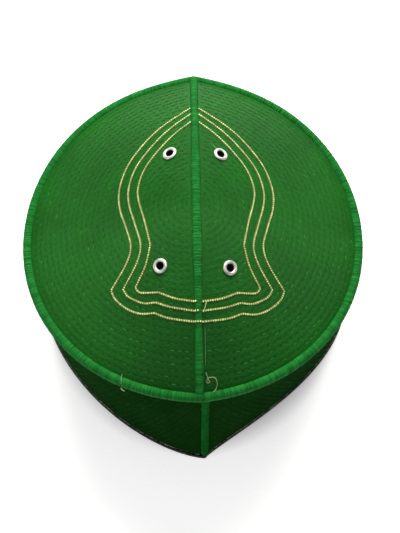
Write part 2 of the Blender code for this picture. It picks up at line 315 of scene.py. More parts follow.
# Quilting rows on the crown are smaller copies of the rim, and their stitches start at the front seam
HALF_TURN = np.linspace(0.0, math.pi, 1441)
RIM_RUN = {side: run_of(crown_ray(side * HALF_TURN, 1.0)[:, :2]) for side in SIDES.values()}
ROW_WAVER = 0.35 * MM


def waver(x, y):
    """How far the hand-guided quilting strays from its even rows at a point."""
    along = ROW_WAVER * wander(x, y, 17 * MM) + 0.3 * ROW_WAVER * wander(y, x, 5.5 * MM)
    across = ROW_WAVER * wander(x + 0.04, y, 23 * MM) + 0.3 * ROW_WAVER * wander(x, y - 0.03, 6.5 * MM)
    return along, across


def crown_quilting(x, y, sizes):
    """(stitch, row) at points of the crown; whole rows are stitch lines and whole stitches needle holes."""
    off_x, off_y = waver(x, y)
    turn, spread = crown_place(x - off_x, y - off_y)
    t = turn
    for _ in range(3):
        t = turn - (rim_turn(t) - t)
    runs = np.where(
        t > 0, np.interp(np.abs(t), HALF_TURN, RIM_RUN[1]), np.interp(np.abs(t), HALF_TURN, RIM_RUN[-1]),
    )
    return np.stack((runs * spread / sizes.stitch, spread * sizes.crown_rows), axis=-1)


QUILT_PUFF = 0.04 * MM       # how far the cloth swells between the rows
QUILT_LINE = 0.04 * MM       # how deep a row's thread pulls it down
QUILT_HOLE = 0.24 * MM       # and how deep the needle holes are
LINE_WIDTH = 0.6 * MM
HOLE_WIDTH = 0.6 * MM
EDGE_ROLL = 0.12 * MM        # how far a panel's edge dips towards its seam
EDGE_WIDTH = 1.1 * MM


def quilt_relief(quilting, row_space, stitch):
    """Height of quilted cloth over its smooth face."""
    across = (quilting[..., 1] - np.round(quilting[..., 1])) * row_space
    along = (quilting[..., 0] - np.round(quilting[..., 0])) * stitch
    line = np.exp(-(across / LINE_WIDTH) ** 2)
    hole = np.exp(-(across ** 2 + along ** 2) / HOLE_WIDTH ** 2)
    puff = np.sin(math.pi * np.abs(across) / row_space) ** 2
    uneven = 1 + 0.45 * wander(quilting[..., 0] * stitch, quilting[..., 1] * row_space, 9 * MM)
    return QUILT_PUFF * puff * uneven - QUILT_LINE * line - QUILT_HOLE * hole


# The dressed cloth comes this much nearer to the seams' middles than the plain panels do
RIM_TUCK = 0.65 * MM
RIDGE_TUCK = 0.5 * MM
SIDE_TUCK = 0.6 * MM
RIDGE_GIRTH = (
    # (y in mm, the ridge cord's girth there over its even one), after its width in the photo
    (-85, 1.05), (-76, 0.94), (-66, 0.88), (-56, 0.78), (-45, 0.84), (-34, 0.88), (-24, 1.08), (-13, 1.03),
    (-2, 0.97), (9, 1.04), (20, 1.1), (30, 1.0), (62, 0.96), (85, 1.0),
)


def ridge_girth(y):
    places, girths = np.array(RIDGE_GIRTH).T
    return np.interp(y, places * MM, girths)


def ridge_edge(y):
    """Distance from the crown seam's middle to the dressed cloth beside it."""
    return RIDGE_SEAM - RIDGE_TUCK - 0.9 * RIDGE_CORD * (1 - ridge_girth(y))


# Mesh helpers

def new_object(name, data):
    made = bpy.data.objects.new(name, data)
    bpy.context.scene.collection.objects.link(made)
    return made


def evaluated(made):
    """Plain mesh of an object as its modifiers leave it."""
    graph = bpy.context.evaluated_depsgraph_get()
    return bpy.data.meshes.new_from_object(made.evaluated_get(graph), depsgraph=graph)


def add_mesh(name, points, faces, finish, uv=None, uv_name="", sharp=60.0):
    """A closed mesh with its faces pointing out, shaded smooth except over the sharp angle."""
    mesh = bpy.data.meshes.new(name)
    mesh.from_pydata(np.asarray(points).tolist(), [], faces)
    mesh.validate()
    fill = bmesh.new()
    fill.from_mesh(mesh)
    bmesh.ops.recalc_face_normals(fill, faces=fill.faces)
    fill.to_mesh(mesh)
    fill.free()
    if uv is not None:
        corner = np.zeros(len(mesh.loops), np.int32)
        mesh.loops.foreach_get("vertex_index", corner)
        layer = mesh.uv_layers.new(name=uv_name)
        layer.data.foreach_set("uv", np.asarray(uv, np.float32)[corner].ravel())
    mesh.shade_smooth()
    mesh.set_sharp_from_angle(angle=math.radians(sharp))
    mesh.materials.append(finish)
    return new_object(name, mesh)


def add_sweep(name, rings, finish, closed, uv_name="", sharp=60.0):
    """Solid through rings of points, closed on itself or capped at both ends, with a UV map in metres."""
    count, sides = rings.shape[:2]
    along = [(i, (i + 1) % count) for i in range(count if closed else count - 1)]
    faces = [
        (i * sides + k, i * sides + (k + 1) % sides, j * sides + (k + 1) % sides, j * sides + k)
        for i, j in along for k in range(sides)
    ]
    if not closed:
        faces += [tuple(range(sides)), tuple(range((count - 1) * sides, count * sides))]
    run = run_of(rings[:, 0])
    girth = run_of(rings[0])
    uv = np.stack(np.meshgrid(run, girth, indexing="ij"), axis=-1).reshape(-1, 2) if uv_name else None
    return add_mesh(name, rings.reshape(-1, 3), faces, finish, uv, uv_name, sharp)


def add_panel(name, outer, normal, quilting, coarse, finish):
    """Quilted panel: a fine grid on its outer face and one coarse times wider on its inner face."""
    inner = (outer - CLOTH * normal)[::coarse, ::coarse]
    rows, columns = outer.shape[0] - 1, outer.shape[1] - 1
    wide = columns // coarse + 1
    first = (rows + 1) * (columns + 1)

    def near(i, j):
        return i * (columns + 1) + j

    def far(i, j):
        return first + i * wide + j

    faces = [
        (near(i, j), near(i, j + 1), near(i + 1, j + 1), near(i + 1, j))
        for i in range(rows) for j in range(columns)
    ]
    faces += [
        (far(i, j), far(i + 1, j), far(i + 1, j + 1), far(i, j + 1))
        for i in range(rows // coarse) for j in range(columns // coarse)
    ]
    for j in range(0, columns, coarse):
        k = j // coarse
        faces.append([near(0, j + n) for n in range(coarse + 1)] + [far(0, k + 1), far(0, k)])
        last = rows // coarse
        faces.append([near(rows, j + n) for n in range(coarse, -1, -1)] + [far(last, k), far(last, k + 1)])
    for i in range(0, rows, coarse):
        k = i // coarse
        faces.append([near(i + n, 0) for n in range(coarse, -1, -1)] + [far(k, 0), far(k + 1, 0)])
        edge = [far(k + 1, wide - 1), far(k, wide - 1)]
        faces.append([near(i + n, columns) for n in range(coarse + 1)] + edge)
    points = np.concatenate((outer.reshape(-1, 3), inner.reshape(-1, 3)))
    uv = np.concatenate((quilting.reshape(-1, 2), quilting[::coarse, ::coarse].reshape(-1, 2)))
    return add_mesh(name, points, faces, finish, uv, "quilting")


def grid_area(points):
    """Area of a grid of points."""
    across = points[:-1, 1:] - points[:-1, :-1]
    along = points[1:, :-1] - points[:-1, :-1]
    return float(np.linalg.norm(np.cross(across, along), axis=-1).sum())


def grid_normal(points):
    """Directions square to a grid of points, pointing away from the cap's inside."""
    normal = unit(np.cross(np.gradient(points, axis=1), np.gradient(points, axis=0)))
    outward = points.mean(axis=(0, 1)) - np.array((0.0, 0.0, RIM_SIDE_Z / 2))
    return normal if (normal * outward).sum() > 0 else -normal


# Nodes

def feed(node, inputs):
    """Give a node's inputs, by socket name or number, values, nodes or (node, output)."""
    for key, value in inputs.items():
        socket = node.inputs[key]
        if isinstance(value, bpy.types.Node):
            value = (value, 0)
        if isinstance(value, tuple) and isinstance(value[0], bpy.types.Node):
            node.id_data.links.new(value[0].outputs[value[1]], socket)
        else:
            socket.default_value = value


def add(tree, kind, inputs=None, **settings):
    """Add a node with its settings and its inputs."""
    made = tree.nodes.new(kind)
    for key, value in settings.items():
        setattr(made, key, value)
    feed(made, inputs or {})
    return made


class Path:
    """What a node tree works along: points, their directions and girths, and whether edges join them."""

    def __init__(self, points, outward, along=None, girth=None, closed=False, joined=True):
        self.points = np.asarray(points)
        self.outward = np.asarray(outward)
        self.along = along
        self.girth = np.ones(len(self.points)) if girth is None else girth
        self.closed = closed
        self.joined = joined

    def mesh(self, name):
        count = len(self.points)
        edges = [(i, i + 1) for i in range(count - 1)] if self.joined else []
        if self.closed:
            edges.append((count - 1, 0))
        made = bpy.data.meshes.new(name)
        made.from_pydata(self.points.tolist(), edges, [])
        for key, values in (("outward", self.outward), ("along", self.along)):
            if values is not None:
                held = made.attributes.new(key, "FLOAT_VECTOR", "POINT")
                held.data.foreach_set("vector", np.asarray(values, np.float32).ravel())
        held = made.attributes.new("girth", "FLOAT", "POINT")
        held.data.foreach_set("value", np.asarray(self.girth, np.float32))
        return made


def new_tree(name, sizes):
    """Node tree that takes geometry, the named sizes and a material, and gives geometry."""
    tree = bpy.data.node_groups.new(name, "GeometryNodeTree")
    tree.interface.new_socket("Geometry", in_out="INPUT", socket_type="NodeSocketGeometry")
    for key, value in sizes.items():
        kind = "NodeSocketInt" if isinstance(value, int) else "NodeSocketFloat"
        tree.interface.new_socket(key, in_out="INPUT", socket_type=kind)
    tree.interface.new_socket("Material", in_out="INPUT", socket_type="NodeSocketMaterial")
    tree.interface.new_socket("Geometry", in_out="OUTPUT", socket_type="NodeSocketGeometry")
    return tree, add(tree, "NodeGroupInput")


def finish_tree(tree, given, thread, points, up, ahead, extra=None):
    """Set the thread on every point, its Z up and its X ahead, its lean and size uneven, and make it real."""
    turned = add(tree, "FunctionNodeAxesToRotation", {0: up, 1: ahead}, primary_axis="Z", secondary_axis="X")
    lean = add(tree, "FunctionNodeRandomValue", {0: (-1, -1, -1), 1: (1, 1, 1), 8: (given, "Seed")},
               data_type="FLOAT_VECTOR")
    lean = add(tree, "ShaderNodeVectorMath", {0: lean, 3: (given, "Lean")}, operation="SCALE")
    lean = add(tree, "FunctionNodeEulerToRotation", {0: lean})
    turned = add(tree, "FunctionNodeRotateRotation", {0: turned, 1: lean}, rotation_space="LOCAL")
    spare = add(tree, "ShaderNodeMath", {0: 1.0, 1: (given, "Unevenness")}, operation="SUBTRACT")
    size = add(tree, "FunctionNodeRandomValue", {2: spare, 3: 1.0, 8: (given, "Seed")}, data_type="FLOAT")
    girth = add(tree, "GeometryNodeInputNamedAttribute", {0: "girth"}, data_type="FLOAT")
    size = add(tree, "ShaderNodeMath", {0: (size, 1), 1: girth}, operation="MULTIPLY")
    placed = add(tree, "GeometryNodeInstanceOnPoints", {
        "Points": points, "Instance": thread, "Rotation": turned, "Scale": size,
    })
    shade = add(tree, "FunctionNodeRandomValue", {2: 0.0, 3: 1.0, 8: (given, "Seed")}, data_type="FLOAT")
    placed = add(tree, "GeometryNodeStoreNamedAttribute", {
        "Geometry": placed, "Name": "thread_shade", "Value": (shade, 1),
    }, data_type="FLOAT", domain="INSTANCE")
    joined = add(tree, "GeometryNodeJoinGeometry", {0: placed})
    if extra is not None:
        feed(joined, {0: extra})
    real = add(tree, "GeometryNodeRealizeInstances", {0: joined})
    smooth = add(tree, "GeometryNodeSetShadeSmooth", {0: real})
    painted = add(tree, "GeometryNodeSetMaterial", {0: smooth, 2: (given, "Material")})
    add(tree, "NodeGroupOutput", {0: painted})


def satin_tree(sizes):
    """Threads wrapped side by side round a core that follows a path."""
    tree, given = new_tree("satin_seam", sizes)
    curve = add(tree, "GeometryNodeMeshToCurve", {0: (given, "Geometry")})
    half = add(tree, "ShaderNodeMath", {0: (given, "Thread"), 1: 0.5}, operation="MULTIPLY")
    bend = add(tree, "ShaderNodeMath", {0: (given, "Cord Radius"), 1: half}, operation="SUBTRACT")
    start = add(tree, "ShaderNodeMath", {0: (given, "Wrap"), 1: -0.5}, operation="MULTIPLY")
    arc = add(tree, "GeometryNodeCurveArc", {0: 12, 4: bend, 5: start, 6: (given, "Wrap")}, mode="RADIUS")
    round_one = add(tree, "GeometryNodeCurvePrimitiveCircle", {0: 5, 4: half}, mode="RADIUS")
    strand = add(tree, "GeometryNodeCurveToMesh", {
        "Curve": arc, "Profile Curve": round_one, "Fill Caps": True,
    })
    flat = add(tree, "ShaderNodeCombineXYZ", {0: 1.0, 1: 1.0, 2: (given, "Flatness")})
    strand = add(tree, "GeometryNodeTransform", {"Geometry": strand, "Scale": flat})
    points = add(tree, "GeometryNodeResampleCurve", {0: curve, "Length": (given, "Pitch")}, mode="LENGTH")
    tangent = add(tree, "GeometryNodeInputTangent")
    outward = add(tree, "GeometryNodeInputNamedAttribute", {0: "outward"}, data_type="FLOAT_VECTOR")
    inside = add(tree, "ShaderNodeMath", {0: bend, 1: half}, operation="SUBTRACT")
    core_ring = add(tree, "GeometryNodeCurvePrimitiveCircle", {0: 14, 4: inside}, mode="RADIUS")
    girth = add(tree, "GeometryNodeInputNamedAttribute", {0: "girth"}, data_type="FLOAT")
    core = add(tree, "GeometryNodeCurveToMesh", {
        "Curve": curve, "Profile Curve": core_ring, "Scale": girth, "Fill Caps": True,
    })
    finish_tree(tree, given, strand, points, tangent, outward, core)
    return tree


def chain_tree(sizes):
    """Overlapping links of a chain stitch along a path, with painted shade on their flanks and on a flat bed
    under them.
    """
    tree, given = new_tree("chain_stitch", sizes)
    curve = add(tree, "GeometryNodeMeshToCurve", {0: (given, "Geometry")})
    points = add(tree, "GeometryNodeResampleCurve", {0: curve, "Length": (given, "Pitch")}, mode="LENGTH")
    half = add(tree, "ShaderNodeMath", {0: (given, "Thread"), 1: 0.5}, operation="MULTIPLY")
    reach = add(tree, "ShaderNodeMath", {0: (given, "Width"), 1: 0.5}, operation="MULTIPLY")
    bend = add(tree, "ShaderNodeMath", {0: reach, 1: half}, operation="SUBTRACT")
    loop = add(tree, "GeometryNodeCurvePrimitiveCircle", {0: 9, 4: bend}, mode="RADIUS")
    round_one = add(tree, "GeometryNodeCurvePrimitiveCircle", {0: 5, 4: half}, mode="RADIUS")
    link = add(tree, "GeometryNodeCurveToMesh", {"Curve": loop, "Profile Curve": round_one})
    place = add(tree, "GeometryNodeInputPosition")
    split = add(tree, "ShaderNodeSeparateXYZ", {0: place})
    off = add(tree, "ShaderNodeMath", {0: (split, "Y")}, operation="ABSOLUTE")
    flank = add(tree, "ShaderNodeMath", {0: off, 1: reach}, operation="DIVIDE")
    link = add(tree, "GeometryNodeStoreNamedAttribute", {"Geometry": link, "Name": "flank", "Value": flank},
               data_type="FLOAT", domain="POINT")
    stretch = add(tree, "ShaderNodeCombineXYZ", {0: (given, "Stretch"), 1: 1.0, 2: 1.0})
    tilt = add(tree, "ShaderNodeCombineXYZ", {1: (given, "Tilt")})
    link = add(tree, "GeometryNodeTransform", {"Geometry": link, "Rotation": tilt, "Scale": stretch})
    # A flat brown bed under the links, all of it flank colour: painted shade under the gold line
    shade_bed = add(tree, "GeometryNodeMeshUVSphere", {"Segments": 10, "Rings": 5, "Radius": (given, "Shade Bed")})
    sunk = add(tree, "ShaderNodeCombineXYZ", {2: -0.25 * MM})
    shade_bed = add(tree, "GeometryNodeTransform", {"Geometry": shade_bed, "Translation": sunk, "Scale": (1.4, 1.0, 0.3)})
    shade_bed = add(tree, "GeometryNodeStoreNamedAttribute", {"Geometry": shade_bed, "Name": "flank", "Value": 1.0},
              data_type="FLOAT", domain="POINT")
    both = add(tree, "GeometryNodeJoinGeometry", {0: link})
    feed(both, {0: shade_bed})
    tangent = add(tree, "GeometryNodeInputTangent")
    outward = add(tree, "GeometryNodeInputNamedAttribute", {0: "outward"}, data_type="FLOAT_VECTOR")
    finish_tree(tree, given, both, points, outward, tangent)
    return tree


def stitch_tree(sizes):
    """One arched thread at each point, with both ends dipping into the cloth."""
    tree, given = new_tree("running_stitch", sizes)
    half = add(tree, "ShaderNodeMath", {0: (given, "Length"), 1: 0.5}, operation="MULTIPLY")
    back = add(tree, "ShaderNodeMath", {0: half, 1: -1.0}, operation="MULTIPLY")
    dip = add(tree, "ShaderNodeMath", {0: (given, "Dip"), 1: -1.0}, operation="MULTIPLY")
    rise = add(tree, "ShaderNodeMath", {0: (given, "Dip"), 1: (given, "Thread")}, operation="ADD")
    ends = [add(tree, "ShaderNodeCombineXYZ", {0: x, 2: dip}) for x in (back, half)]
    middle = add(tree, "ShaderNodeCombineXYZ", {2: rise})
    bow = add(tree, "GeometryNodeCurveQuadraticBezier", {
        "Resolution": 4, "Start": ends[0], "Middle": middle, "End": ends[1],
    })
    radius = add(tree, "ShaderNodeMath", {0: (given, "Thread"), 1: 0.5}, operation="MULTIPLY")
    round_one = add(tree, "GeometryNodeCurvePrimitiveCircle", {0: 4, 4: radius}, mode="RADIUS")
    thread = add(tree, "GeometryNodeCurveToMesh", {
        "Curve": bow, "Profile Curve": round_one, "Fill Caps": True,
    })
    outward, along = (
        add(tree, "GeometryNodeInputNamedAttribute", {0: key}, data_type="FLOAT_VECTOR")
        for key in ("outward", "along")
    )
    finish_tree(tree, given, thread, (given, "Geometry"), outward, along)
    return tree


def run_tree(name, make_tree, sizes, path, finish):
    """Run a node tree over a path and keep its result as a plain mesh object."""
    tree = make_tree(sizes)
    guide = new_object(name + "_guide", path.mesh(name + "_guide"))
    nodes = guide.modifiers.new("nodes", "NODES")
    nodes.node_group = tree
    values = {**sizes, "Material": finish}
    for item in tree.interface.items_tree:
        if item.in_out == "INPUT" and item.name in values:
            nodes[item.identifier] = values[item.name]
    mesh = evaluated(guide)
    bpy.data.objects.remove(guide)
    mesh.name = name
    return new_object(name, mesh)


def place(made, slot=None, replaces=()):
    """Fix a finished piece to the cap."""
    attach(made, "root")
    if replaces:
        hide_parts(*replaces)
    return made


# Finishes

def new_finish(name, roughness, sheen=0.0, specular=0.5):
    made = bpy.data.materials.new(name)
    made.use_nodes = True
    shader = made.node_tree.nodes["Principled BSDF"]
    feed(shader, {"Roughness": roughness, "Sheen Weight": sheen, "Specular IOR Level": specular})
    return made, made.node_tree, shader


def rgba(linear, factor=1.0):
    """A linear colour made paler or darker, with its alpha."""
    return (*[min(1.0, c * factor) for c in linear], 1.0)


WEAVE = 0.45 * MM        # thread spacing, about twice the real one so that it shows
# Noise cells to a metre, each for a pattern of the size given
PATCHES = 28.0           # dye patches, 36 mm
FIBRES = 900.0           # fibres of the cloth, 1.1 mm, coarser than real ones so that they show
WEAR = 260.0             # worn lengths of thread, 4 mm
TWIST = 2600.0           # twist of a thread, 0.4 mm
LINT = 520.0             # specks of lint, 2 mm
DRIFTS = 35.0            # drifts of lint, 29 mm
HAZE = 700.0             # haze on the plating, 1.4 mm
SCRATCHES = 4200.0       # fine scratches, 0.24 mm
CLOUDS = 3.0             # unevenness of the floor's paint, 330 mm
# Colours that no user would change: lint on the tape, the painted shade in an eyelet's throat, a faded thread
# end
TAPE_LINT = "6f736a"
THROAT_SHADE = "120e0b"
FADED_GREEN = "8fbf8a"
# How bright the threads on the walls, the side seams and the hem are, as shares of the user's colours:
# painted shade
WALL_THREAD_SHADE = 0.36
SIDE_SATIN_SHADE = 0.74
HEM_THREAD_SHADE = 0.6


def quilted_cotton(name, tint, gloss, row_space, stitch):
    """Quilted cotton poplin: matt green, softly mottled, with painted shade at the needle holes and a fine
    weave.
    """
    made, tree, shader = new_finish(name, 0.58, specular=gloss)
    spot = add(tree, "ShaderNodeUVMap", uv_map="quilting")
    here = add(tree, "ShaderNodeTexCoord")
    patches = add(tree, "ShaderNodeTexNoise", {"Vector": (here, "Object"), "Scale": PATCHES, "Detail": 4.0})
    fibres = add(tree, "ShaderNodeTexNoise", {"Vector": (here, "Object"), "Scale": FIBRES, "Detail": 3.0})
    mottle = add(tree, "ShaderNodeMapRange", {0: patches, 1: 0.35, 2: 0.65, 3: 0.0, 4: 1.0})
    pale, dark = rgba(tint, 1.14), rgba(tint, 0.86)
    ground = add(tree, "ShaderNodeMix", {0: mottle, 6: dark, 7: pale}, data_type="RGBA")
    speck = add(tree, "ShaderNodeMapRange", {0: fibres, 1: 0.3, 2: 0.7, 3: 0.8, 4: 1.2})
    # Painted shade in the needle holes: a fifth darker at each hole, fading out by 0.75 mm from it
    half = add(tree, "ShaderNodeVectorMath", {0: spot, 1: (0.5, 0.5, 0.0)}, operation="ADD")
    part = add(tree, "ShaderNodeVectorMath", {0: half}, operation="FRACTION")
    part = add(tree, "ShaderNodeVectorMath", {0: part, 1: (0.5, 0.5, 0.0)}, operation="SUBTRACT")
    spacing = (stitch / MM, row_space / MM, 0.0)
    part = add(tree, "ShaderNodeVectorMath", {0: part, 1: spacing}, operation="MULTIPLY")
    away = add(tree, "ShaderNodeVectorMath", {0: part}, operation="LENGTH")
    hole = add(tree, "ShaderNodeMapRange", {0: (away, "Value"), 1: 0.25, 2: 0.75, 3: 0.8, 4: 1.0})
    shade = add(tree, "ShaderNodeMath", {0: speck, 1: hole}, operation="MULTIPLY")
    shade = add(tree, "ShaderNodeVectorMath", {0: (ground, 2), 3: shade}, operation="SCALE")
    threads = (2 * math.pi * stitch / WEAVE, 2 * math.pi * row_space / WEAVE, 0.0)
    weave = add(tree, "ShaderNodeVectorMath", {0: spot, 1: threads}, operation="MULTIPLY")
    weave = add(tree, "ShaderNodeVectorMath", {0: weave}, operation="SINE")
    weave = add(tree, "ShaderNodeSeparateXYZ", {0: weave})
    crossing = add(tree, "ShaderNodeMath", {0: (weave, 0), 1: (weave, 1)}, operation="MULTIPLY")
    fuzz = add(tree, "ShaderNodeMath", {0: fibres, 1: 2.0, 2: crossing}, operation="MULTIPLY_ADD")
    bump = add(tree, "ShaderNodeBump", {"Height": fuzz, "Strength": 0.5, "Distance": 0.12 * MM})
    feed(shader, {"Base Color": shade, "Normal": bump})
    return made


def spun_thread(name, tint, roughness, specular=0.4, deep=0.55, bright=1.15, plain=0.0, flank=None):
    """Spun thread with fine twist lines: strands from deep to bright, the plain share of them all deep."""
    made, tree, shader = new_finish(name, roughness, specular=specular)
    strand = add(tree, "ShaderNodeAttribute", attribute_name="thread_shade")
    here = add(tree, "ShaderNodeTexCoord")
    grain = add(tree, "ShaderNodeTexNoise", {"Vector": (here, "Object"), "Scale": WEAR, "Detail": 3.0})
    # Where bright is well over 1, as for the quilting threads, the few bright strands are painted glints
    level = add(tree, "ShaderNodeMapRange", {0: (strand, "Fac"), 1: plain, 2: 1.0, 3: deep, 4: bright})
    wear_and_throat_shade = add(tree, "ShaderNodeMapRange", {0: grain, 1: 0.3, 2: 0.7, 3: 0.82, 4: 1.18})
    shade = add(tree, "ShaderNodeMath", {0: level, 1: wear_and_throat_shade}, operation="MULTIPLY")
    shade = add(tree, "ShaderNodeVectorMath", {0: tint, 3: shade}, operation="SCALE")
    # Painted shade: the flank colour over a link's sides, from 0.72 of its half width out, and over the bed
    # under it
    if flank is not None:
        side = add(tree, "ShaderNodeAttribute", attribute_name="flank")
        side = add(tree, "ShaderNodeMapRange", {0: (side, "Fac"), 1: 0.72, 2: 1.0, 3: 0.0, 4: 1.0})
        shade = (add(tree, "ShaderNodeMix", {0: side, 6: shade, 7: rgba(flank)}, data_type="RGBA"), 2)
    twist = add(tree, "ShaderNodeTexNoise", {"Vector": (here, "Object"), "Scale": TWIST, "Detail": 2.0})
    bump = add(tree, "ShaderNodeBump", {"Height": twist, "Strength": 0.35, "Distance": 0.06 * MM})
    feed(shader, {"Base Color": shade, "Normal": bump})
    return made


def cotton_tape(name, tint):
    """Black cotton twill tape: matt, with slanting ribs and grey lint in places."""
    made, tree, shader = new_finish(name, 0.9, sheen=0.15, specular=0.2)
    spot = add(tree, "ShaderNodeUVMap", uv_map="tape")
    here = add(tree, "ShaderNodeTexCoord")
    lint = add(tree, "ShaderNodeTexNoise", {"Vector": (here, "Object"), "Scale": LINT, "Detail": 4.0})
    where = add(tree, "ShaderNodeTexNoise", {"Vector": (here, "Object"), "Scale": DRIFTS, "Detail": 2.0})
    both = add(tree, "ShaderNodeMath", {0: lint, 1: where}, operation="MULTIPLY")
    dusty = add(tree, "ShaderNodeMapRange", {0: both, 1: 0.30, 2: 0.42, 3: 0.0, 4: 1.0})
    grey = rgba(colour(TAPE_LINT))
    ground = add(tree, "ShaderNodeMix", {0: dusty, 6: rgba(tint), 7: grey}, data_type="RGBA")
    slant = add(tree, "ShaderNodeVectorMath", {0: spot, 1: (1 / WEAVE, 1 / WEAVE, 0.0)}, operation="MULTIPLY")
    slant = add(tree, "ShaderNodeVectorMath", {0: slant, 1: (1.0, 1.0, 0.0)}, operation="DOT_PRODUCT")
    rib = add(tree, "ShaderNodeMath", {0: (slant, "Value"), 1: 2 * math.pi}, operation="MULTIPLY")
    rib = add(tree, "ShaderNodeMath", {0: rib}, operation="SINE")
    bump = add(tree, "ShaderNodeBump", {"Height": rib, "Strength": 0.5, "Distance": 0.1 * MM})
    feed(shader, {"Base Color": (ground, 2), "Normal": bump})
    return made


def nickel_plate(name, tint):
    """Pressed brass, nickel-plated: a white, hazy, finely scratched ring and a nearly black throat of painted
    shade.
    """
    made, tree, shader = new_finish(name, 0.35)
    unshaded_part = add(tree, "ShaderNodeAttribute", attribute_name="unshaded")
    shine = add(tree, "ShaderNodeMath", {0: (unshaded_part, "Fac"), 1: 0.7}, operation="MULTIPLY")
    here = add(tree, "ShaderNodeTexCoord")
    haze = add(tree, "ShaderNodeTexNoise", {"Vector": (here, "Object"), "Scale": HAZE, "Detail": 3.0})
    rough = add(tree, "ShaderNodeMapRange", {0: haze, 1: 0.3, 2: 0.7, 3: 0.28, 4: 0.5})
    dull = add(tree, "ShaderNodeMix", {0: haze, 6: rgba(tint, 0.8), 7: rgba(tint, 1.05)}, data_type="RGBA")
    # Painted shade: where the unshaded attribute falls to 0, down the throat, the colour turns nearly black
    # and the metal goes
    throat_shade = rgba(colour(THROAT_SHADE))
    wear_and_throat_shade = add(tree, "ShaderNodeMix", {0: (unshaded_part, "Fac"), 6: throat_shade, 7: (dull, 2)}, data_type="RGBA")
    scratch = add(tree, "ShaderNodeTexNoise", {"Vector": (here, "Object"), "Scale": SCRATCHES, "Detail": 2.0})
    bump = add(tree, "ShaderNodeBump", {"Height": scratch, "Strength": 0.12, "Distance": 0.03 * MM})
    feed(shader, {"Base Color": (wear_and_throat_shade, 2), "Metallic": shine, "Roughness": rough, "Normal": bump})
    return made


GLOW = 0.6               # emission strength of the floor away from the cap


def studio_floor(name, tint):
    """Painted board: pale, matt, faintly mottled, with a glow all round the cap that keeps shadows light."""
    made, tree, shader = new_finish(name, 0.9, specular=0.1)
    here = add(tree, "ShaderNodeTexCoord")
    reach = (1 / HEM_HALF_WIDTH, 1 / HEM_HALF_LENGTH, 0.0)
    out = add(tree, "ShaderNodeVectorMath", {0: (here, "Object"), 1: reach}, operation="MULTIPLY")
    out = add(tree, "ShaderNodeVectorMath", {0: out}, operation="LENGTH")
    glow = add(tree, "ShaderNodeMapRange", {0: (out, "Value"), 1: 0.8, 2: 1.0, 3: 0.0, 4: GLOW})
    cloud = add(tree, "ShaderNodeTexNoise", {"Vector": (here, "Object"), "Scale": CLOUDS, "Detail": 2.0})
    tone = add(tree, "ShaderNodeMix", {0: cloud, 6: rgba(tint, 0.98), 7: rgba(tint, 1.02)}, data_type="RGBA")
    white = (1.0, 1.0, 1.0, 1.0)
    feed(shader, {"Base Color": (tone, 2), "Emission Color": white, "Emission Strength": glow})
    return made


# Crown

CROWN_GRID = (320, 148)
SIDE_GRID = (96, 336)
INNER_COARSE = 4
ROW_EVENNESS = 0.6       # 1 spaces the grid's rows evenly, 0 crowds them at the panel's ends
NARROWEST = 1.5 * MM     # a crown half's width where its grid begins and ends
RIM_SLOPE = 1.15         # length along the cloth over length in plan, near the rim
EYELET_CUTTER_SIDES = 32


def crown_edge(side):
    """The rim drawn in by the seam, on one side from front to back."""
    t = side * HALF_TURN
    fall = np.linalg.norm(crown_ray(t, 1.0) - crown_ray(t, 0.99), axis=-1) / 0.01
    return crown_ray(t, 1 - (RIM_SEAM - RIM_TUCK) / fall)


def crown_grid(side):
    """Plan coordinates of a crown half, a row at each y from front to back, columns from ridge to rim."""
    edge = crown_edge(side)

    def width(y):
        inner = seam_x(y) + side * ridge_edge(y)
        return side * (np.interp(y, edge[:, 1], edge[:, 0]) - inner)

    ys = np.linspace(edge[0, 1], edge[-1, 1], 4001)
    held = ys[width(ys) > NARROWEST]
    share = np.linspace(0.0, 1.0, CROWN_GRID[0] + 1)
    share = ROW_EVENNESS * share + (1 - ROW_EVENNESS) * (1 - np.cos(math.pi * share)) / 2
    y = held[0] + (held[-1] - held[0]) * share
    across = np.linspace(0.0, 1.0, CROWN_GRID[1] + 1)
    x = (seam_x(y) + side * ridge_edge(y))[:, None] + side * width(y)[:, None] * across
    return x, np.broadcast_to(y[:, None], x.shape)


def eyelet_spots():
    return {node: (seam_x(y) + off, y) for node, (off, y) in EYELETS.items()}


def near_eyelet(x, y):
    """Distance in plan to the nearest eyelet's middle."""
    return np.min([np.hypot(x - ex, y - ey) for ex, ey in eyelet_spots().values()], axis=0)


def edge_fade(distance, width):
    """1 at an edge, fading to 0 over a few widths."""
    return np.exp(-np.maximum(distance, 0.0) / width)


def build_crown_half(word, side, sizes, finish):
    x, y = crown_grid(side)
    smooth = crown_at(x, y)
    normal = grid_normal(smooth)
    quilting = crown_quilting(x, y, sizes)
    row_space = RIM_HALF_WIDTH / sizes.crown_rows
    relief = quilt_relief(quilting, row_space, sizes.stitch)
    from_ridge = np.abs(x - seam_x(y)) - ridge_edge(y)
    _, spread = crown_place(x, y)
    from_rim = (1 - spread) * RIM_HALF_WIDTH * RIM_SLOPE - RIM_SEAM + RIM_TUCK
    edge = edge_fade(np.minimum(from_ridge, from_rim), EDGE_WIDTH)
    flat = np.clip((near_eyelet(x, y) - EYELET_FLANGE) / EDGE_WIDTH, 0.0, 1.0)
    relief = relief * (1 - edge) * flat - EDGE_ROLL * edge
    made = add_panel("crown_cloth_" + word, smooth + relief[..., None] * normal, normal, quilting,
                     INNER_COARSE, finish)
    cutters = []
    for node, (ex, ey) in eyelet_spots().items():
        if node.endswith(word):
            cutters.append(eyelet_cutter(node, ex, ey))
            cut = made.modifiers.new(node, "BOOLEAN")
            cut.object = cutters[-1]
            cut.solver = "EXACT"
    keep_evaluated(made)
    for cutter in cutters:
        bpy.data.objects.remove(cutter)
    return made, grid_area(smooth)


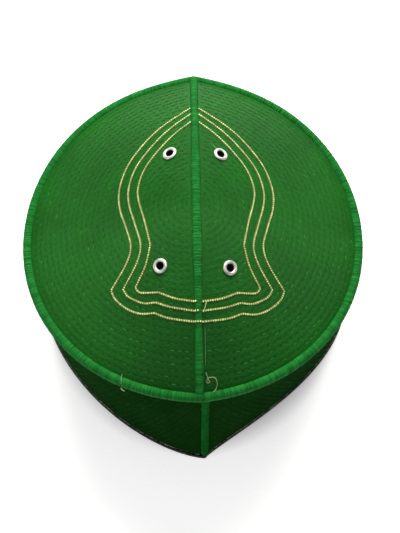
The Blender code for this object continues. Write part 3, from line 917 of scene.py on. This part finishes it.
def eyelet_round(x, y, sides):
    """An eyelet's foot on the crown, its axis, and the directions out from it all round."""
    foot, axis = crown_at(x, y), crown_normal(x, y)
    side = unit(np.cross(axis, (0.0, 1.0, 0.0)))
    turn = np.linspace(0.0, 2 * math.pi, sides + 1)[:-1, None]
    return foot, axis, np.cos(turn) * side + np.sin(turn) * np.cross(axis, side)


def eyelet_cutter(node, x, y):
    foot, axis, out = eyelet_round(x, y, EYELET_CUTTER_SIDES)
    ring = foot + EYELET_CUT * out
    rings = np.stack([ring - 3 * CLOTH * axis, ring + 2 * CLOTH * axis])
    return add_sweep(node + "_cutter", rings, None, False)


def keep_evaluated(made):
    """Put the object's modifiers into its mesh."""
    mesh, old = evaluated(made), made.data
    made.modifiers.clear()
    made.data = mesh
    bpy.data.meshes.remove(old)
    mesh.name = made.name


# How much shorter a stitch's thread is than its space, how deep its ends dip, and how far the
# stitches keep off the ridge and the eyelets, the rim, the walls' ends and the hem
HOLE_ROOM = 1.2 * MM
STITCH_DIP = 0.26 * MM
CROWN_CLEAR = 1.3 * MM
RIM_CLEAR = 0.6 * MM
WALL_CLEAR = 1.5 * MM
HEM_CLEAR = 5.5 * MM


def crown_stitch_path(side, sizes):
    """Middles of the quilting stitches of a crown half, with their directions."""
    places, alongs = [], []
    for row in range(1, int(sizes.crown_rows) + 1):
        spread = row / sizes.crown_rows
        run = RIM_RUN[side] * spread
        count = int(run[-1] / sizes.stitch)
        if count < 1:
            continue
        middles = (np.arange(count) + 0.5) * sizes.stitch
        t = side * np.interp(middles, run, HALF_TURN)
        plan = crown_ray(t, spread)[:, :2]
        step = crown_ray(t + side * 0.002, spread)[:, :2] - plan
        places.append(plan)
        alongs.append(unit(step))
    (x, y), step = np.concatenate(places).T, np.concatenate(alongs)
    off_x, off_y = waver(x, y)
    x, y = x + off_x, y + off_y
    _, spread = crown_place(x, y)
    held = side * (x - seam_x(y)) > RIDGE_SEAM + CROWN_CLEAR
    held &= (1 - spread) * RIM_HALF_WIDTH > RIM_SEAM + RIM_CLEAR
    held &= near_eyelet(x, y) > EYELET_FLANGE + CROWN_CLEAR
    x, y, step = x[held], y[held], step[held]
    normal = crown_normal(x, y)
    ahead = crown_at(x + step[:, 0] * MM, y + step[:, 1] * MM) - crown_at(x, y)
    return Path(crown_at(x, y) - QUILT_LINE * normal, normal, unit(ahead), joined=False)


def stitch_sizes(sizes, seed):
    return {
        "Length": sizes.stitch - HOLE_ROOM, "Thread": sizes.quilting_thread, "Dip": STITCH_DIP,
        "Lean": 0.09, "Unevenness": 0.2, "Seed": seed,
    }


class KUFI_OT_crown(bpy.types.Operator):
    """Make the two quilted crown halves and their stitches"""
    bl_idname = "kufi.crown"
    bl_label = "Crown"

    def execute(self, context):
        sizes, colours = context.scene.kufi_sizes, context.scene.kufi_colours
        row_space = RIM_HALF_WIDTH / sizes.crown_rows
        cloth = quilted_cotton("crown_cotton_poplin", colours.crown, 0.17, row_space, sizes.stitch)
        # Seven tenths of the stitches deep, the rest up to twice as bright: painted glints
        thread = spun_thread("crown_polyester_thread", colours.quilting, 0.5, 0.2, 0.8, 2.0, plain=0.7)
        for word, side in SIDES.items():
            half, area = build_crown_half(word, side, sizes, cloth)
            stitches = run_tree("crown_stitches_" + word, stitch_tree, stitch_sizes(sizes, 11 + side),
                                crown_stitch_path(side, sizes), thread)
            place(half, "quilted_cloth", ["crown_" + word])
            place(stitches, "quilted_cloth")
        return {"FINISHED"}


# Side walls

def wall_grid(side, counts):
    """A side wall's points, rows from rim to hem and columns from front to back, with runs and falls."""
    t = side * HALF_TURN
    drop = np.linalg.norm(hem_at(t) - wall_top(t), axis=-1)
    top = (RIM_SEAM - RIM_TUCK) / drop
    bottom = 1 - (BINDING_HEIGHT + GAP) / wall_top(t)[:, 2]
    points = np.zeros((counts[0] + 1, counts[1] + 1, 3))
    runs = np.zeros(points.shape[:2])
    falls = np.zeros(points.shape[:2])
    for i in range(counts[0] + 1):
        fall = top + (bottom - top) * i / counts[0]
        ring = wall_at(t, fall)
        run = run_of(ring)
        places = np.linspace(SIDE_SEAM - SIDE_TUCK, run[-1] - SIDE_SEAM + SIDE_TUCK, counts[1] + 1)
        points[i] = points_at(places, run, ring)
        runs[i] = places
        falls[i] = np.interp(places, run, fall)
    return points, runs, falls


WALL_PUFF = 0.6          # share of the height of the crown's quilting that the walls' quilting has
WALL_STRAY = 21 * MM     # length over which the walls' rows stray and come back
ROW_SHIFT = 0.38         # share of a stitch by which each row's stitches lie off the next row's


def wall_row_space(sizes):
    return RIM_SIDE_Z / sizes.side_rows


def build_side(word, side, sizes, finish):
    points, runs, falls = wall_grid(side, SIDE_GRID)
    normal = grid_normal(points)
    height = (1 - falls) * RIM_SIDE_Z
    stray = ROW_WAVER * wander(runs, height, WALL_STRAY)
    row = (height - stray) / wall_row_space(sizes)
    quilting = np.stack(((runs - stray) / sizes.stitch + ROW_SHIFT * row, row), axis=-1)
    relief = quilt_relief(quilting, wall_row_space(sizes), sizes.stitch)
    ends = np.minimum(runs - runs[:, :1], runs[:, -1:] - runs)
    levels = np.minimum(points[..., 2] - BINDING_HEIGHT - GAP, falls * RIM_SIDE_Z - RIM_SEAM + RIM_TUCK)
    edge = edge_fade(np.minimum(ends, levels), EDGE_WIDTH)
    relief = WALL_PUFF * relief * (1 - edge) - EDGE_ROLL * edge
    made = add_panel("side_cloth_" + word, points + relief[..., None] * normal, normal, quilting,
                     INNER_COARSE, finish)
    return made, grid_area(points)


def side_stitch_path(side, sizes):
    """Middles of the quilting stitches of a side wall, with their directions."""
    t = side * HALF_TURN
    points, alongs = [], []
    for row in range(1, int(sizes.side_rows)):
        fall = 1 - row / sizes.side_rows
        ring = wall_at(t, np.full_like(t, fall))
        run = run_of(ring)
        count = int((run[-1] - 2 * SIDE_SEAM) / sizes.stitch)
        middles = (np.arange(count) + 0.5 - ROW_SHIFT * row % 1) * sizes.stitch
        stray = ROW_WAVER * wander(middles, (1 - fall) * RIM_SIDE_Z, WALL_STRAY)
        middles = middles + stray
        first, last = SIDE_SEAM + WALL_CLEAR, run[-1] - SIDE_SEAM - WALL_CLEAR
        middles = middles[(middles > first) & (middles < last)]
        here = points_at(middles, run, ring)
        ahead = points_at(middles + MM, run, ring)
        points.append(here)
        alongs.append(unit(ahead - here))
    points, alongs = np.concatenate(points), np.concatenate(alongs)
    plan = points - (0.0, 0.0, RIM_SIDE_Z / 2)
    normal = unit(np.cross(alongs * side, (0.0, 0.0, 1.0)))
    normal *= np.sign((normal * plan).sum(axis=1, keepdims=True))
    held = points[:, 2] > HEM_CLEAR
    return Path((points - QUILT_LINE * normal)[held], normal[held], alongs[held], joined=False)


class KUFI_OT_sides(bpy.types.Operator):
    """Make the two quilted side walls and their stitches"""
    bl_idname = "kufi.sides"
    bl_label = "Side walls"

    def execute(self, context):
        sizes, colours = context.scene.kufi_sizes, context.scene.kufi_colours
        # The walls' cotton and their threads are darker than the crown's: painted shade
        cloth = quilted_cotton("side_cotton_poplin", colours.side, 0.0, wall_row_space(sizes), sizes.stitch)
        dim = [c * WALL_THREAD_SHADE for c in colours.quilting]
        # As on the crown, the brightest stitches, up to 1.8 times, are painted glints
        thread = spun_thread("side_polyester_thread", dim, 0.6, 0.1, 0.8, 1.8, plain=0.7)
        for word, side in SIDES.items():
            wall, area = build_side(word, side, sizes, cloth)
            stitches = run_tree("side_stitches_" + word, stitch_tree, stitch_sizes(sizes, 31 + side),
                                side_stitch_path(side, sizes), thread)
            place(wall, "quilted_cloth", ["side_" + word])
            place(stitches, "quilted_cloth")
        return {"FINISHED"}


# Satin seams

RING_STEPS = 360
END_TUCK = 2.3 * MM      # how far a cord's end runs in among the rim cord's threads
SATIN_SPREAD = 1.18      # width of a satin thread, pressed flat, over the distance to the next one


def rim_outward(t):
    """Directions out of the rim's edge, midway between the crown's face and the wall's face."""
    small = 0.004
    along = crown_ray(t + small, 1.0) - crown_ray(t - small, 1.0)
    over_crown = crown_ray(t, 1.0) - crown_ray(t, 0.99)
    down_wall = wall_at(t, np.full_like(t, 0.01)) - wall_top(t)
    crown_out = unit(np.cross(along, -over_crown))
    wall_out = unit(np.cross(along, -down_wall))
    return unit(crown_out + wall_out)


def rim_path():
    """The rim cord's middle line, a closed ring."""
    t = np.linspace(0.0, 2 * math.pi, RING_STEPS + 1)[:-1]
    outward = rim_outward(t)
    return Path(crown_ray(t, 1.0) - RIM_CORD_SINK * outward, outward, closed=True)


def ridge_path(rim):
    """The ridge cord's middle line, its ends tucked into the rim cord's threads."""
    y = np.linspace(-RIM_HALF_LENGTH - RIM_TIP_FRONT, RIM_HALF_LENGTH + RIM_TIP_BACK, 3601)
    crest = crown_at(seam_x(y), y)
    along = unit(np.gradient(crest, axis=0))
    up = unit(np.array((0.0, 0.0, 1.0)) - along * along[:, 2:])
    middle = crest - RIDGE_CORD_SINK * up
    ends = rim.points[0], rim.points[RING_STEPS // 2]
    clear = np.all([np.linalg.norm(middle - end, axis=1) > RIM_CORD - END_TUCK for end in ends], axis=0)
    return Path(middle[clear][::20], up[clear][::20], girth=ridge_girth(y[clear][::20]))


def side_cord_path(sign):
    """A side seam's middle line, from under the rim cord to the hem tape, where it lies flatter."""
    out = np.array((0.0, sign, 0.0))
    t = np.full(401, 0.0 if sign < 0 else math.pi)
    fall = np.linspace(0.0, 1.0, 401)
    middle = wall_at(t, fall) - (SIDE_CORD_SINK + MM * (0.6 * fall ** 4 + 0.5 * fall ** 24)[:, None]) * out
    meet = np.array([(WALL_SEAM_FRONT - SEAM_FRONT) / RIM_HALF_WIDTH if sign < 0 else math.pi])
    top = crown_ray(meet, 1.0) - RIM_CORD_SINK * rim_outward(meet)
    lowest = BINDING_HEIGHT + TAPE_LIP + 0.2 * MM
    clear = (np.linalg.norm(middle - top, axis=1) > RIM_CORD - END_TUCK) & (middle[:, 2] > lowest)
    middle = middle[clear][::8]
    return Path(middle, np.tile(out, (len(middle), 1)))


class KUFI_OT_seams(bpy.types.Operator):
    """Make the satin-stitched cords over the seams"""
    bl_idname = "kufi.seams"
    bl_label = "Satin seams"

    def execute(self, context):
        sizes, colours = context.scene.kufi_sizes, context.scene.kufi_colours
        satin = spun_thread("rayon_satin_thread", colours.satin, 0.6, specular=0.03, deep=0.76)
        # The side seams' cords are darker than the rim's and the ridge's: painted shade
        dim = [c * SIDE_SATIN_SHADE for c in colours.satin]
        dull = spun_thread("dull_shaded_satin_thread", dim, 0.7, specular=0.0, deep=0.8)
        rim = rim_path()
        cords = {
            # CAD node: path, radius, how far round the threads go
            "rim_cord": (rim, RIM_CORD, 5.3),
            "ridge_cord": (ridge_path(rim), RIDGE_CORD, 4.9),
            "front_cord": (side_cord_path(-1), SIDE_CORD, 4.9),
            "back_cord": (side_cord_path(1), SIDE_CORD, 4.9),
        }
        for seed, (node, (path, radius, wrap)) in enumerate(cords.items()):
            settings = {
                "Pitch": sizes.satin_pitch, "Cord Radius": radius, "Thread": sizes.satin_thread,
                "Flatness": SATIN_SPREAD * sizes.satin_pitch / sizes.satin_thread, "Wrap": wrap, "Lean": 0.08,
                "Unevenness": 0.05, "Seed": 51 + seed,
            }
            finish = satin if node in ("rim_cord", "ridge_cord") else dull
            made = run_tree(node.replace("_cord", "_satin"), satin_tree, settings, path, finish)
            place(made, "satin_cord", [node])
        return {"FINISHED"}


# Hem

TAPE = 0.35 * MM
TAPE_LIP = 0.8 * MM          # how far the folded tape reaches up over the wall's edge
TAPE_ROLL = 0.55 * MM        # how far its fold bulges out
TAPE_BEND = 0.5 * MM         # radius of its lower corners
HEM_STITCH_RISE = 0.9 * MM   # height of the gold stitches over its edge
HEM_STEPS = 200              # on each side


def hem_outline():
    """The hem's outline as a closed ring of even steps, with its mitred outward directions."""
    halves = []
    for side in (1, -1):
        ring = hem_at(side * HALF_TURN)
        run = run_of(ring)
        places = np.linspace(0.0, run[-1], HEM_STEPS + 1)
        halves.append(points_at(places, run, ring))
    ring = np.concatenate((halves[0][:-1], halves[1][:0:-1]))
    into = unit(ring - np.roll(ring, 1, axis=0))
    up = np.array((0.0, 0.0, 1.0))
    out_one = np.cross(into, up)
    out_two = np.roll(out_one, -1, axis=0)
    mitre = unit(out_one + out_two)
    return ring, mitre / (mitre * out_one).sum(axis=1, keepdims=True)


def build_hem_tape(finish):
    """Tape folded round the walls' lower edge, a channel open at the top."""
    ring, mitre = hem_outline()
    outer = (BINDING_WIDTH - CLOTH) / 2
    inner = outer - BINDING_WIDTH
    top = BINDING_HEIGHT + TAPE_LIP
    bend = TAPE_BEND
    section = np.array((
        (outer, top), (outer + 0.6 * TAPE_ROLL, top * 0.75), (outer + TAPE_ROLL, top * 0.45),
        (outer + 0.85 * TAPE_ROLL, top * 0.2), (outer + 0.3 * TAPE_ROLL, 0.1 * bend), (outer - bend, 0.0),
        (inner + bend, 0.0), (inner + 0.3 * bend, 0.3 * bend), (inner, bend), (inner, top),
        (inner + TAPE, top), (inner + TAPE, bend + TAPE), (inner + bend + TAPE, TAPE),
        (outer - bend - TAPE, TAPE), (outer - TAPE, bend + TAPE), (outer - TAPE, top),
    ))
    run = run_of(ring)
    ripple = 0.12 * MM * wander(run, run * 0.0, 19 * MM) + 0.06 * MM * wander(run, run * 0.0, 5 * MM)
    high = section[:, 1] > bend + TAPE
    rings = ring[:, None] + mitre[:, None] * section[None, :, :1]
    rings = rings + (0.0, 0.0, 1.0) * section[None, :, 1:]
    rings[:, high, 2] += ripple[:, None] * (section[high, 1] / top)
    return add_sweep("hem_tape", rings, finish, True, "tape", sharp=50.0)


def hem_stitch_path(sizes):
    """Middles of the stitches that hold the hem tape, a little over its edge."""
    places, outs, alongs = [], [], []
    height = BINDING_HEIGHT + TAPE_LIP + HEM_STITCH_RISE
    for side in (1, -1):
        t = side * HALF_TURN
        ring = wall_at(t, 1 - height / wall_top(t)[:, 2])
        run = run_of(ring)
        count = int((run[-1] - 2 * SIDE_SEAM) / sizes.hem_stitch)
        middles = SIDE_SEAM + (np.arange(count) + 0.5) * sizes.hem_stitch
        here = points_at(middles, run, ring)
        ahead = points_at(middles + MM, run, ring)
        along = unit(ahead - here)
        out = unit(np.cross(along, (0.0, 0.0, 1.0))) * side
        places.append(here)
        outs.append(out)
        alongs.append(along)
    return Path(np.concatenate(places), np.concatenate(outs), np.concatenate(alongs), joined=False)


class KUFI_OT_hem(bpy.types.Operator):
    """Make the folded hem tape and the gold stitches over it"""
    bl_idname = "kufi.hem"
    bl_label = "Hem"

    def execute(self, context):
        sizes, colours = context.scene.kufi_sizes, context.scene.kufi_colours
        tape = build_hem_tape(cotton_tape("black_cotton_twill_tape", colours.tape))
        # The hem stitches, darker than the pale thread ends: painted shade
        dim = [c * HEM_THREAD_SHADE for c in colours.lint]
        gold = spun_thread("shaded_gold_hem_thread", dim, 0.6, 0.2, deep=0.15)
        settings = {
            "Length": sizes.hem_stitch + 0.3 * MM, "Thread": 0.42 * MM, "Dip": 0.2 * MM,
            "Lean": 0.16, "Unevenness": 0.3, "Seed": 71,
        }
        stitches = run_tree("hem_stitches", stitch_tree, settings, hem_stitch_path(sizes), gold)
        place(tape, "hem_tape", ["hem_binding"])
        place(stitches)
        return {"FINISHED"}


# Eyelets

EYELET_SIDES = 56
EYELET_ROLL = (
    # (distance in from the flange's edge in mm, share of its rise)
    (0.0, 0.2), (0.08, 0.45), (0.35, 0.72), (0.8, 0.9), (1.15, 0.9),
)


def eyelet_profile():
    """(radius, height over the cloth) round an eyelet's section, from its flange down, and its share left
    unshaded.
    """
    low = -CLOTH - GAP
    neck = EYELET_HOLE - 0.15 * MM
    flange = [(EYELET_FLANGE - inwards * MM, GAP + share * EYELET_RISE) for inwards, share in EYELET_ROLL]
    flange.append((EYELET_HOLE + 0.25 * MM, GAP + 0.72 * EYELET_RISE))
    throat = [
        (EYELET_HOLE, GAP + 0.35 * EYELET_RISE), (neck + 0.03 * MM, GAP - 0.2 * MM), (neck, low - 0.4 * MM),
    ]
    curl = [
        (EYELET_HOLE + 0.3 * MM, low - 0.62 * MM), (EYELET_BACK - 0.3 * MM, low - 0.55 * MM),
        (EYELET_BACK, low - 0.3 * MM), (EYELET_BACK - 0.05 * MM, low), (EYELET_BARREL, low),
    ]
    # 1 on the plated faces, 0.1 and 0 down the throat, where shade is painted: nearly black and not metallic
    unshaded = [1.0] * len(flange) + [0.1, 0.0, 0.0] + [1.0] * (len(curl) + 2)
    return np.array(flange + throat + curl + [(EYELET_BARREL, GAP), (EYELET_FLANGE - 0.2 * MM, GAP)]), unshaded


def build_eyelet(node, x, y, finish):
    foot, axis, out = eyelet_round(x, y, EYELET_SIDES)
    profile, unshaded = eyelet_profile()
    rings = foot + out[:, None] * profile[None, :, :1] + axis * profile[None, :, 1:]
    made = add_sweep(node.replace("eyelet_", "eyelet_ring_"), rings, finish, True, sharp=40.0)
    held = made.data.attributes.new("unshaded", "FLOAT", "POINT")
    held.data.foreach_set("value", np.tile(np.array(unshaded, np.float32), EYELET_SIDES))
    return made


class KUFI_OT_eyelets(bpy.types.Operator):
    """Make the four pressed eyelets"""
    bl_idname = "kufi.eyelets"
    bl_label = "Eyelets"

    def execute(self, context):
        nickel = nickel_plate("nickel_plated_brass", context.scene.kufi_colours.nickel)
        for node, (x, y) in eyelet_spots().items():
            place(build_eyelet(node, x, y, nickel), "eyelet_metal", [node])
        return {"FINISHED"}


# Gold outline

def smooth_curve(spots, corners=(), step=None):
    """Smooth curve through points, broken at the corners, in steps of a length or 8 to a span."""
    made = []
    for i, (here, there) in enumerate(zip(spots, spots[1:])):
        before = spots[i - 1] if i > 0 and i not in corners else 2 * here - there
        after = spots[i + 2] if i + 2 < len(spots) and i + 1 not in corners else 2 * there - here
        count = max(2, int(np.linalg.norm(there - here) / step)) if step else 8
        s = np.linspace(0.0, 1.0, count + 1)[:-1, None]
        made.append(0.5 * (
            2 * here + (there - before) * s + (2 * before - 5 * here + 4 * there - after) * s ** 2
            + (3 * here - before - 3 * there + after) * s ** 3
        ))
    return np.concatenate(made + [spots[-1:]])


def outline_path(line, side):
    """A gold line on one crown half, lying on the cloth and, where it gets there, on the ridge cord."""
    turns = OUTLINE[line]
    if side < 0:
        turns += ((OVER_RIDGE[line], turns[-1][1] - OVER_RIDGE_FORWARD),)
    spots = smooth_curve(np.array(turns) * MM, OUTLINE_CORNERS[line], OUTLINE_STEP)
    x, y = seam_x(spots[:, 1]) + side * spots[:, 0], spots[:, 1]
    normal = crown_normal(x, y)
    points = crown_at(x, y) + OUTLINE_LIFT * normal
    radius = RIDGE_CORD * ridge_girth(y) + 0.1 * MM
    height = np.sqrt(np.maximum(radius ** 2 - spots[:, 0] ** 2, 0.0))
    over = crown_at(seam_x(y), y)[:, 2] - RIDGE_CORD_SINK + height
    climbs = (height > 0) & (over > points[:, 2])
    points[climbs, 2] = over[climbs]
    radial = unit(xyz(side * spots[:, 0], 0.0, height))
    normal[climbs] = radial[climbs]
    return Path(points, normal)


class KUFI_OT_outline(bpy.types.Operator):
    """Make the three gold chain-stitched lines on each crown half"""
    bl_idname = "kufi.outline"
    bl_label = "Gold outline"

    def execute(self, context):
        sizes, colours = context.scene.kufi_sizes, context.scene.kufi_colours
        gold = spun_thread("gold_rayon_thread", colours.gold, 0.42, deep=0.8, flank=colours.gold_painted_shade)
        for seed, line in enumerate(OUTLINE):
            for word, side in SIDES.items():
                settings = {
                    "Pitch": sizes.chain_pitch, "Width": sizes.chain_width, "Thread": 0.46 * MM,
                    "Shade Bed": 0.82 * MM, "Stretch": 0.86, "Tilt": 0.34, "Lean": 0.1, "Unevenness": 0.12,
                    "Seed": 90 + 2 * seed + side,
                }
                path = outline_path(line, side)
                place(run_tree(f"gold_{line}_line_{word}", chain_tree, settings, path, gold))
        return {"FINISHED"}


# Loose threads

def build_loose_thread(name, radius, points, finish):
    """A thread end that lies on the crown, thinner at both of its ends."""
    spots = smooth_curve(np.array(points, float)) * MM
    middle = crown_at(spots[:, 0], spots[:, 1])
    normal = crown_normal(spots[:, 0], spots[:, 1])
    middle = middle + normal * spots[:, 2:]
    along = unit(np.gradient(middle, axis=0))
    side = unit(np.cross(along, normal))
    up = np.cross(side, along)
    turn = np.linspace(0.0, 2 * math.pi, 7)[:-1]
    taper = np.minimum(1.0, 0.45 + np.minimum(np.arange(len(middle)), np.arange(len(middle))[::-1]) / 5)
    around = np.cos(turn)[None, :, None] * side[:, None] + np.sin(turn)[None, :, None] * up[:, None]
    rings = middle[:, None] + radius * MM * taper[:, None, None] * around
    return add_sweep("thread_" + name, rings, finish, False)


class KUFI_OT_threads(bpy.types.Operator):
    """Make the loose thread ends on the crown"""
    bl_idname = "kufi.threads"
    bl_label = "Loose threads"

    def execute(self, context):
        colours = context.scene.kufi_colours
        finishes = {
            "pale": spun_thread("pale_cotton_thread", colours.lint, 0.7, 0.3, deep=1.0),
            "green": spun_thread("faded_green_thread", colour(FADED_GREEN), 0.7, 0.3, deep=0.8),
            "gold": spun_thread("gold_jump_thread", colours.gold, 0.45, deep=0.9),
        }
        for name, (kind, radius, points) in LOOSE_THREADS.items():
            place(build_loose_thread(name, radius, points, finishes[kind]))
        return {"FINISHED"}


# Stage

FLOOR_HALF = 3.0
CAMERA_TARGET = (3.711 * MM, -19.646 * MM, 82.0 * MM)
CAMERA_DISTANCE = 512.65 * MM
CAMERA_ELEVATION = 68.236
CAMERA_ROLL = -0.108
CAMERA_LENS = 67.54
LIGHTS = {
    # name: (place, width, height, power in watts, colour)
    "key_behind": ((0.1, 1.32, 1.32), 1.4, 0.9, 60.0, "fffdf8"),
    "top_fill": ((0.0, 0.1, 1.7), 1.1, 1.1, 5.0, "ffffff"),
    "left_fill": ((-1.1, -0.6, 0.9), 0.9, 0.9, 4.0, "ffffff"),
}
WORLD_STRENGTH = 0.12


def look_at(made, target):
    made.rotation_mode = "QUATERNION"
    made.rotation_quaternion = (Vector(target) - made.location).to_track_quat("-Z", "Y")


class KUFI_OT_stage(bpy.types.Operator):
    """Make the floor, the lights and the camera"""
    bl_idname = "kufi.stage"
    bl_label = "Stage"

    def execute(self, context):
        scene = context.scene
        half = FLOOR_HALF
        corners = [(-half, -half, 0.0), (half, -half, 0.0), (half, half, 0.0), (-half, half, 0.0)]
        mesh = bpy.data.meshes.new("floor")
        mesh.from_pydata(corners, [], [(0, 1, 2, 3)])
        mesh.materials.append(studio_floor("pale_painted_board", scene.kufi_colours.floor))
        floor = new_object("floor", mesh)
        for name, (spot, width, height, power, tint) in LIGHTS.items():
            data = bpy.data.lights.new(name, "AREA")
            data.shape = "RECTANGLE"
            data.size = width
            data.size_y = height
            data.energy = power
            data.color = colour(tint)
            lamp = new_object(name, data)
            lamp.location = spot
            look_at(lamp, (0.0, 0.0, 0.06))
        world = bpy.data.worlds.new("studio")
        world.use_nodes = True
        sky = world.node_tree.nodes["Background"]
        sky.inputs["Color"].default_value = (0.95, 0.97, 1.0, 1.0)
        sky.inputs["Strength"].default_value = WORLD_STRENGTH
        scene.world = world
        scene.view_settings.view_transform = "Standard"
        data = bpy.data.cameras.new("photo_camera")
        data.lens = CAMERA_LENS
        data.sensor_width = 36.0
        camera = new_object("photo_camera", data)
        rise = math.radians(CAMERA_ELEVATION)
        away = Vector((0.0, -math.cos(rise), math.sin(rise)))
        camera.location = Vector(CAMERA_TARGET) + CAMERA_DISTANCE * away
        look_at(camera, CAMERA_TARGET)
        camera.rotation_mode = "XYZ"
        camera.rotation_euler.rotate_axis("Z", math.radians(CAMERA_ROLL))
        scene.camera = camera
        return {"FINISHED"}


STEPS = (
    KUFI_OT_stage, KUFI_OT_crown, KUFI_OT_sides, KUFI_OT_seams, KUFI_OT_hem, KUFI_OT_eyelets,
    KUFI_OT_outline, KUFI_OT_threads,
)


class KUFI_PT_panel(bpy.types.Panel):
    """Sizes, colours and steps of the kufi"""
    bl_idname = "KUFI_PT_panel"
    bl_label = "Kufi"
    bl_space_type = "VIEW_3D"
    bl_region_type = "UI"
    bl_category = "Kufi"

    def draw(self, context):
        for group in (context.scene.kufi_sizes, context.scene.kufi_colours):
            column = self.layout.column(align=True)
            for key in group.__annotations__:
                column.prop(group, key)
        column = self.layout.column(align=True)
        for step in STEPS:
            column.operator(step.bl_idname)


CLASSES = (KufiColours, KufiSizes, *STEPS, KUFI_PT_panel)


def register():
    for kind in CLASSES:
        bpy.utils.register_class(kind)
    bpy.types.Scene.kufi_colours = bpy.props.PointerProperty(type=KufiColours)
    bpy.types.Scene.kufi_sizes = bpy.props.PointerProperty(type=KufiSizes)


def unregister():
    del bpy.types.Scene.kufi_sizes
    del bpy.types.Scene.kufi_colours
    for kind in reversed(CLASSES):
        bpy.utils.unregister_class(kind)


def main():
    register()
    for step in STEPS:
        group, call = step.bl_idname.split(".")
        getattr(getattr(bpy.ops, group), call)()


if __name__ == "__main__":
    main()
